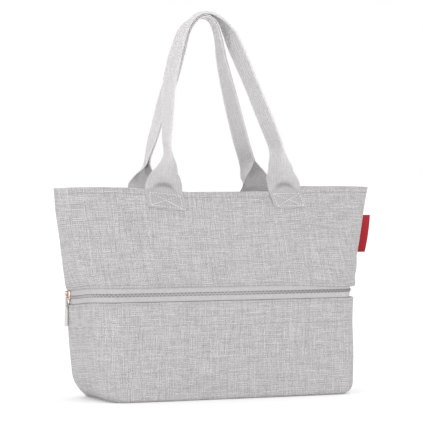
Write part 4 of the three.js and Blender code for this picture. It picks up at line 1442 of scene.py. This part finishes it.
def foot_stitches(name, face, run, side):
    """Stitches of both feet of a handle, and dark pods as painted shade in their needle holes."""
    places = []
    ways = []
    for toe in (False, True):
        rows = face[::-1] if toe else face
        along = (run[-1] - run)[::-1] if toe else run
        near = along < 2 * BOX_HIGH
        for path in [BOX[i : i + 2] for i in range(len(BOX) - 1)] + CROSS:
            share = np.linspace(path[0][0], path[1][0], LINE_POINTS) * BOX_SHARE
            distance = blend(BOX_LOW, BOX_HIGH, np.linspace(path[0][1], path[1][1], LINE_POINTS))
            centres, way = spaced(on_foot(rows[near], along[near], share, distance), FOOT_STITCH_GAP)
            places.append(centres)
            ways.append(way)
    places = np.concatenate(places)
    out = np.tile([0.0, side, FOOT_TILT], (len(places), 1))
    ways = unit(np.concatenate(ways))
    pods(name, places, ways, out, FOOT_STITCH, THREAD_WIDTH, THREAD_HEIGHT, STITCH_THREAD)
    # dark pods as painted shade in the needle holes
    hole_shades = places + ways * FOOT_STITCH_GAP / 2
    hole_name = name.replace("stitches", "hole_shades")
    pods(hole_name, hole_shades, ways, out, HOLE_SIZE, HOLE_SIZE, HOLE_SIZE / 2, NEEDLE_HOLE_SHADE)
    return len(places)


print("front feet", foot_stitches("front_foot_stitches", front_face, front_run, FRONT), "stitches")
print("back feet", foot_stitches("back_foot_stitches", back_face, back_run, BACK), "stitches")

# %% [markdown]
# ## Stitches along the zip and the rim
# A line of stitches runs along both edges of the zip and below the rim. Copies could be set along each edge
# of the mesh, but its points aren't evenly spaced. The functions that shaped the walls give the lines
# again, and each stitch lies in the dip that it makes in the cloth.

# %% Seam stitches
SEAM_STITCH = 2.9 * MM
SEAM_STITCH_GAP = 4.0 * MM


def seam_stitches(name, side):
    """The three lines of stitches on one side of the bag."""
    rim_line = rim_height(all_columns, side) - CLOTH / 2 - HEM_SET
    lines = [
        upper_face(all_columns, np.full(COLUMNS, UPPER_LOW + STITCH_SET), side),
        lower_face(all_columns, np.full(COLUMNS, LOWER_HIGH - STITCH_SET), side),
        upper_face(all_columns, rim_line, side),
    ]
    _, _, nx, nd = wall_section(all_columns, CHAIN_HEIGHT)
    outwards = np.stack([nx, side * nd, np.zeros(COLUMNS)], axis=1)
    places = []
    ways = []
    normals = []
    for line in lines:
        centres, way = spaced(line, SEAM_STITCH_GAP)
        nearest = np.linalg.norm(centres[:, None] - line[None], axis=2).argmin(axis=1)
        places.append(centres)
        ways.append(way)
        normals.append(outwards[nearest])
    places = np.concatenate(places)
    normals = np.concatenate(normals)
    pods(name, places, np.concatenate(ways), normals, SEAM_STITCH, THREAD_WIDTH, THREAD_HEIGHT, SEAM_THREAD)
    return len(places)


print("front seams", seam_stitches("front_seam_stitches", FRONT), "stitches")
print("back seams", seam_stitches("back_seam_stitches", BACK), "stitches")

# %% [markdown]
# ## The red flag
# A short folded ribbon is caught in the right side seam. It hangs free at its outer edge, which is the
# fold, and its lower end curls a little forwards. A bent plane could stand for it, but it would have no
# fold to catch the light. So one ring of points goes out along one face, round the fold and back, and it
# turns a little more at each height. The ribbon stays plain.

# %% Flag in the side seam
FLAG_LOW = 188.2 * MM
FLAG_HIGH = 238.5 * MM
FLAG_WIDTH = 17.3 * MM
FLAG_TUCK = 2 * MM
FLAG_HALF_THICKNESS = 0.5 * MM
FLAG_LEAN_LOW = math.radians(-26)
FLAG_LEAN_HIGH = math.radians(8)
FLAG_ROWS = 22
FLAG_STEPS = 10
FLAG_FOLD_STEPS = 7
FLAG_BOW = 0.6 * MM


def red_flag():
    """The flag as one closed skin."""
    share = np.linspace(0, 1, FLAG_ROWS)
    height = blend(FLAG_LOW, FLAG_HIGH, share)
    half, _, _, _ = section_sizes(height)
    lean = blend(FLAG_LEAN_LOW, FLAG_LEAN_HIGH, share)
    way = np.stack([np.cos(lean), np.sin(lean), np.zeros(FLAG_ROWS)], axis=1)
    normal = np.stack([np.sin(lean), -np.cos(lean), np.zeros(FLAG_ROWS)], axis=1)
    root = np.stack([half - FLAG_TUCK, np.zeros(FLAG_ROWS), height], axis=1)
    reach = np.linspace(0, FLAG_WIDTH + FLAG_TUCK - FLAG_HALF_THICKNESS, FLAG_STEPS)
    bend = np.linspace(math.pi / 2, -math.pi / 2, FLAG_FOLD_STEPS)[1:-1]
    ring_reach = np.concatenate([reach, reach[-1] + FLAG_HALF_THICKNESS * np.cos(bend), reach[::-1]])
    faces = np.ones(FLAG_STEPS)
    ring_out = np.concatenate([faces, np.sin(bend), -faces]) * FLAG_HALF_THICKNESS
    bow = FLAG_BOW * np.sin(math.pi * ring_reach / reach[-1])
    offset = (ring_out + bow)[None, :, None]
    grid = root[:, None] + ring_reach[None, :, None] * way[:, None] + offset * normal[:, None]
    run = running(np.hypot(np.diff(ring_reach), np.diff(ring_out)))
    piece = skin("red_flag", grid, skin_places(height, run), [LABEL_RIBBON])
    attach(piece, "bag")
    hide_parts("side_label")
    return piece


flag = red_flag()
print("flag", round(FLAG_HIGH - FLAG_LOW, 4), "m tall,", len(flag.data.polygons), "faces")

# %% [markdown]
# ## Slider
# The slider is a cast plate that grips the coil, with a crown over the bar of its wire link. It could be
# sculpted, but at this size only the plate, the crown and their shine can be seen. Small castings have soft
# corners, so each block is a cube with its edges bevelled. It takes the place of the plain CAD shape at the
# same hinge.

# %% Slider body
HINGE = frame["joints"][0]
HINGE_PLACE = np.array(HINGE["pos_m"], float)
HINGE_AXIS = np.array(HINGE["axis"], float) / np.linalg.norm(HINGE["axis"])
HINGE_OUT = np.array([-HINGE_AXIS[1], HINGE_AXIS[0], 0])
HINGE_UP = np.array([0, 0, 1.0])
# centre and size out, along the hinge and up (mm), then rounding of the edges
SLIDER_BLOCKS = [
    ((-3.4, 0.6, 2.2), (4.6, 13.6, 13.0), 1.7),
    ((0.5, 0, 4.6), (4.2, 5.0, 6.6), 1.5),
]


def from_hinge(places):
    """Points of the bag from places out, along and up from the hinge."""
    places = np.asarray(places, float)
    return HINGE_PLACE + places @ np.stack([HINGE_OUT, HINGE_AXIS, HINGE_UP])


def slider_body():
    """The slider's blocks as one mesh."""
    shape = bmesh.new()
    for centre, size, rounding in SLIDER_BLOCKS:
        made = bmesh.ops.create_cube(shape, size=1.0)["verts"]
        for vertex in made:
            vertex.co = (np.array(vertex.co) * size + centre) * MM
        edges = {edge for vertex in made for edge in vertex.link_edges}
        bmesh.ops.bevel(
            shape, geom=list(edges), offset=rounding * MM, segments=4, profile=0.5, affect="EDGES"
        )
    for vertex in shape.verts:
        vertex.co = from_hinge(vertex.co)
    bmesh.ops.recalc_face_normals(shape, faces=shape.faces)
    mesh = bpy.data.meshes.new("slider_body")
    shape.to_mesh(mesh)
    shape.free()
    mesh.polygons.foreach_set("use_smooth", [True] * len(mesh.polygons))
    mesh.materials.append(ROSE_GOLD)
    piece = bpy.data.objects.new("slider_body", mesh)
    bpy.context.collection.objects.link(piece)
    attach(piece, "bag")
    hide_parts("zip_slider")
    return piece


slider = slider_body()
print("slider", len(slider.data.polygons), "faces")

# %% [markdown]
# ## Wire link
# The link is one bent wire, and it rides on the body that swings. A curve with a round bevel could draw it.
# We make a tube round a closed path instead, with the function that makes the cloth skins, because that
# gives a closed mesh like all the others.

# %% Wire link
BAR_BELOW = 8 * MM  # from the hinge down to the link's lower bar
WIRE_RADIUS = 0.9 * MM
LINK_HALF_WIDTH = 4.4 * MM
LINK_CORNER = 2.2 * MM
LINK_CORNER_STEPS = 7
WIRE_SIDES = 12


def link_path():
    """Middle of the wire: a rounded rectangle along and up from the hinge."""
    corners = [
        (LINK_HALF_WIDTH, 0, 0),
        (-LINK_HALF_WIDTH, 0, 90),
        (-LINK_HALF_WIDTH, -BAR_BELOW, 180),
        (LINK_HALF_WIDTH, -BAR_BELOW, 270),
    ]
    path = []
    for along, up, start in corners:
        inwards = math.copysign(LINK_CORNER, along)
        upwards = LINK_CORNER if up < 0 else -LINK_CORNER
        centre = np.array([along - inwards, up + upwards])
        for turn in np.radians(np.linspace(start, start + 90, LINK_CORNER_STEPS)):
            path.append(centre + LINK_CORNER * np.array([math.cos(turn), math.sin(turn)]))
    return np.array(path)


def wire_link():
    """The link as a round tube."""
    path = link_path()
    ahead = unit(np.roll(path, -1, axis=0) - np.roll(path, 1, axis=0))
    turn = np.linspace(0, 2 * math.pi, WIRE_SIDES, endpoint=False)
    out = np.tile(np.sin(turn), (len(path), 1))
    along = path[:, :1] + WIRE_RADIUS * np.cos(turn) * ahead[:, 1:]
    up = path[:, 1:] - WIRE_RADIUS * np.cos(turn) * ahead[:, :1]
    grid = from_hinge(np.stack([out * WIRE_RADIUS, along, up], axis=-1))
    no_places = np.zeros((len(path) + 1, WIRE_SIDES + 1, 2))
    piece = skin("wire_link", grid, no_places, [ROSE_GOLD], ring=True)
    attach(piece, "zip_pull")
    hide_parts("pull_link")
    return piece


link = wire_link()
print("link", len(link.data.polygons), "faces")

# %% [markdown]
# ## Ribbon pull
# The pull is a length of ribbon that wraps round the lower bar of the link, with its two layers sewn
# together below it. A plane could be bent round the bar with modifiers, but the gap to the wire has to be
# exact. So its outline is drawn as one closed loop of places out from the hinge and down, and the loop is
# given a width.

# %% Line of the ribbon
LOOP_RADIUS = 1.38 * MM
LAYER_SET = 0.5 * MM  # half the distance between the two sewn layers
RIBBON_HALF_THICKNESS = 0.43 * MM
RIBBON_HALF_WIDTH = 3.5 * MM
PULL_BELOW = 38.5 * MM
PULL_DRIFT = 0.8 * MM  # the end hangs a little away from the bag
DRIFT_POWER = 1.3
PULL_TWIST = math.radians(18)  # and turns its face towards the front
TWIST_REACH = (2 * MM, 14 * MM)  # below the bar
LAYERS_MEET = (8 * MM, 1 * MM)  # below the bar, where the layers close up and where they are fully open
LAYER_ROWS = 26
LOOP_ROWS = 13


def pull_drift(height):
    """How far the pull hangs away from the bag at each height."""
    below = np.clip(-height - BAR_BELOW, 0, None) / (PULL_BELOW - BAR_BELOW)
    return PULL_DRIFT * below**DRIFT_POWER


def ribbon_line():
    """Middle of the ribbon, out and up from the hinge: up one layer, over the bar, down the other."""
    height = np.linspace(-PULL_BELOW, -BAR_BELOW, LAYER_ROWS, endpoint=False)
    opening = ease(height, -BAR_BELOW - LAYERS_MEET[0], -BAR_BELOW - LAYERS_MEET[1])
    spread = blend(LAYER_SET, LOOP_RADIUS, opening)
    drift = pull_drift(height)
    turn = np.linspace(0, math.pi, LOOP_ROWS)
    over = np.stack([LOOP_RADIUS * np.cos(turn), LOOP_RADIUS * np.sin(turn) - BAR_BELOW], axis=1)
    outer = np.stack([drift + spread, height], axis=1)
    inner = np.stack([drift - spread, height], axis=1)[::-1]
    return np.concatenate([outer, over, inner])


print("points along the ribbon", len(ribbon_line()))

# %% Ribbon pull
RIBBON_FACE_STEPS = 7
RIBBON_EDGE_STEPS = 4
RIBBON_EDGE = 0.15  # least share of the thickness at the selvedge


def ribbon_pull():
    """The ribbon as one closed skin, twisted below the bar."""
    line = ribbon_line()
    ahead = unit(np.gradient(line, axis=0))
    left = np.stack([-ahead[:, 1], ahead[:, 0]], axis=1)
    bend = np.linspace(math.pi / 2, 0, RIBBON_EDGE_STEPS)
    edge = RIBBON_HALF_WIDTH - RIBBON_HALF_THICKNESS * (1 - np.cos(bend))
    face = np.linspace(-edge[0], edge[0], RIBBON_FACE_STEPS)[1:-1]
    side_place = np.concatenate([-edge[::-1], face, edge])
    side_thick = np.concatenate([np.sin(bend)[::-1], np.ones(len(face)), np.sin(bend)]).clip(RIBBON_EDGE)
    columns = []
    for place, thick in zip(side_place, side_thick):
        shift = left * RIBBON_HALF_THICKNESS * thick
        ring = np.concatenate([line + shift, (line - shift)[::-1]])
        drift = pull_drift(ring[:, 1])
        twist = PULL_TWIST * ease(-ring[:, 1], BAR_BELOW + TWIST_REACH[0], BAR_BELOW + TWIST_REACH[1])
        off = ring[:, 0] - drift
        out = drift + off * np.cos(twist) + place * np.sin(twist)
        along = place * np.cos(twist) - off * np.sin(twist)
        columns.append(from_hinge(np.stack([out, along, ring[:, 1]], axis=1)))
    grid = np.array(columns)
    middle = grid[len(grid) // 2]
    run = running(np.linalg.norm(np.diff(middle, axis=0), axis=1))
    piece = skin("pull_ribbon_loop", grid, skin_places(side_place, run), [TAB_RIBBON])
    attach(piece, "zip_pull")
    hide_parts("pull_tab")
    return piece


pull = ribbon_pull()
print("pull", len(pull.data.polygons), "faces on", HINGE["name"])

# %% [markdown]
# ## Stage and light
# The bag stands on a plain white table under a white sky, as in a light tent. Lamps and screens could be
# built for it, but broad suns shade the cloth as softly with less to set. One stands near the camera, a
# weaker one at the left and a faint one overhead. The sky fills every shadow, and the table glows a little,
# as a lit one does, so it comes out white.

# %% Floor
FLOOR_HALF = 30.0
FLOOR_CORNERS = [(-1, -1), (1, -1), (1, 1), (-1, 1)]
floor_mesh = bpy.data.meshes.new("floor")
floor_points = [(x * FLOOR_HALF, y * FLOOR_HALF, 0) for x, y in FLOOR_CORNERS]
floor_mesh.from_pydata(floor_points, [], [(0, 1, 2, 3)])
floor = bpy.data.objects.new("floor", floor_mesh)
floor_paint, _, floor_shader = new_material("floor_paint")
floor_shader.inputs["Base Color"].default_value = (0.97, 0.97, 0.97, 1)
floor_shader.inputs["Roughness"].default_value = 0.9
floor_shader.inputs["Specular IOR Level"].default_value = 0.1
floor_shader.inputs["Emission Color"].default_value = (1, 1, 1, 1)
floor_shader.inputs["Emission Strength"].default_value = 0.12
floor_mesh.materials.append(floor_paint)
bpy.context.collection.objects.link(floor)
print("floor", 2 * FLOOR_HALF, "m wide")

# %% Sky and suns
world = bpy.data.worlds.new("sky")
bpy.context.scene.world = world
world.use_nodes = True
world.node_tree.nodes["Background"].inputs["Color"].default_value = (1, 1, 1, 1)
world.node_tree.nodes["Background"].inputs["Strength"].default_value = 1.0

# turn round to the left of the front and height, in degrees, then strength and width of each light
SUNS = {
    "front_sun": (20, 4, 0.6, 40),
    "left_sun": (75, 2, 0.4, 50),
    "top_sun": (0, 90, 0.14, 60),
}
for sun_name, (sun_turn, sun_height, energy, width) in SUNS.items():
    turn = math.radians(sun_turn)
    height = math.radians(sun_height)
    sun_data = bpy.data.lights.new(sun_name, "SUN")
    sun_data.energy = energy
    sun_data.angle = math.radians(width)
    sun = bpy.data.objects.new(sun_name, sun_data)
    level = math.cos(height)
    towards_sun = Vector((-math.sin(turn) * level, -math.cos(turn) * level, math.sin(height)))
    sun.rotation_euler = towards_sun.to_track_quat("Z", "Y").to_euler()
    bpy.context.collection.objects.link(sun)
bpy.context.scene.view_settings.view_transform = "Standard"
print("suns", list(SUNS))
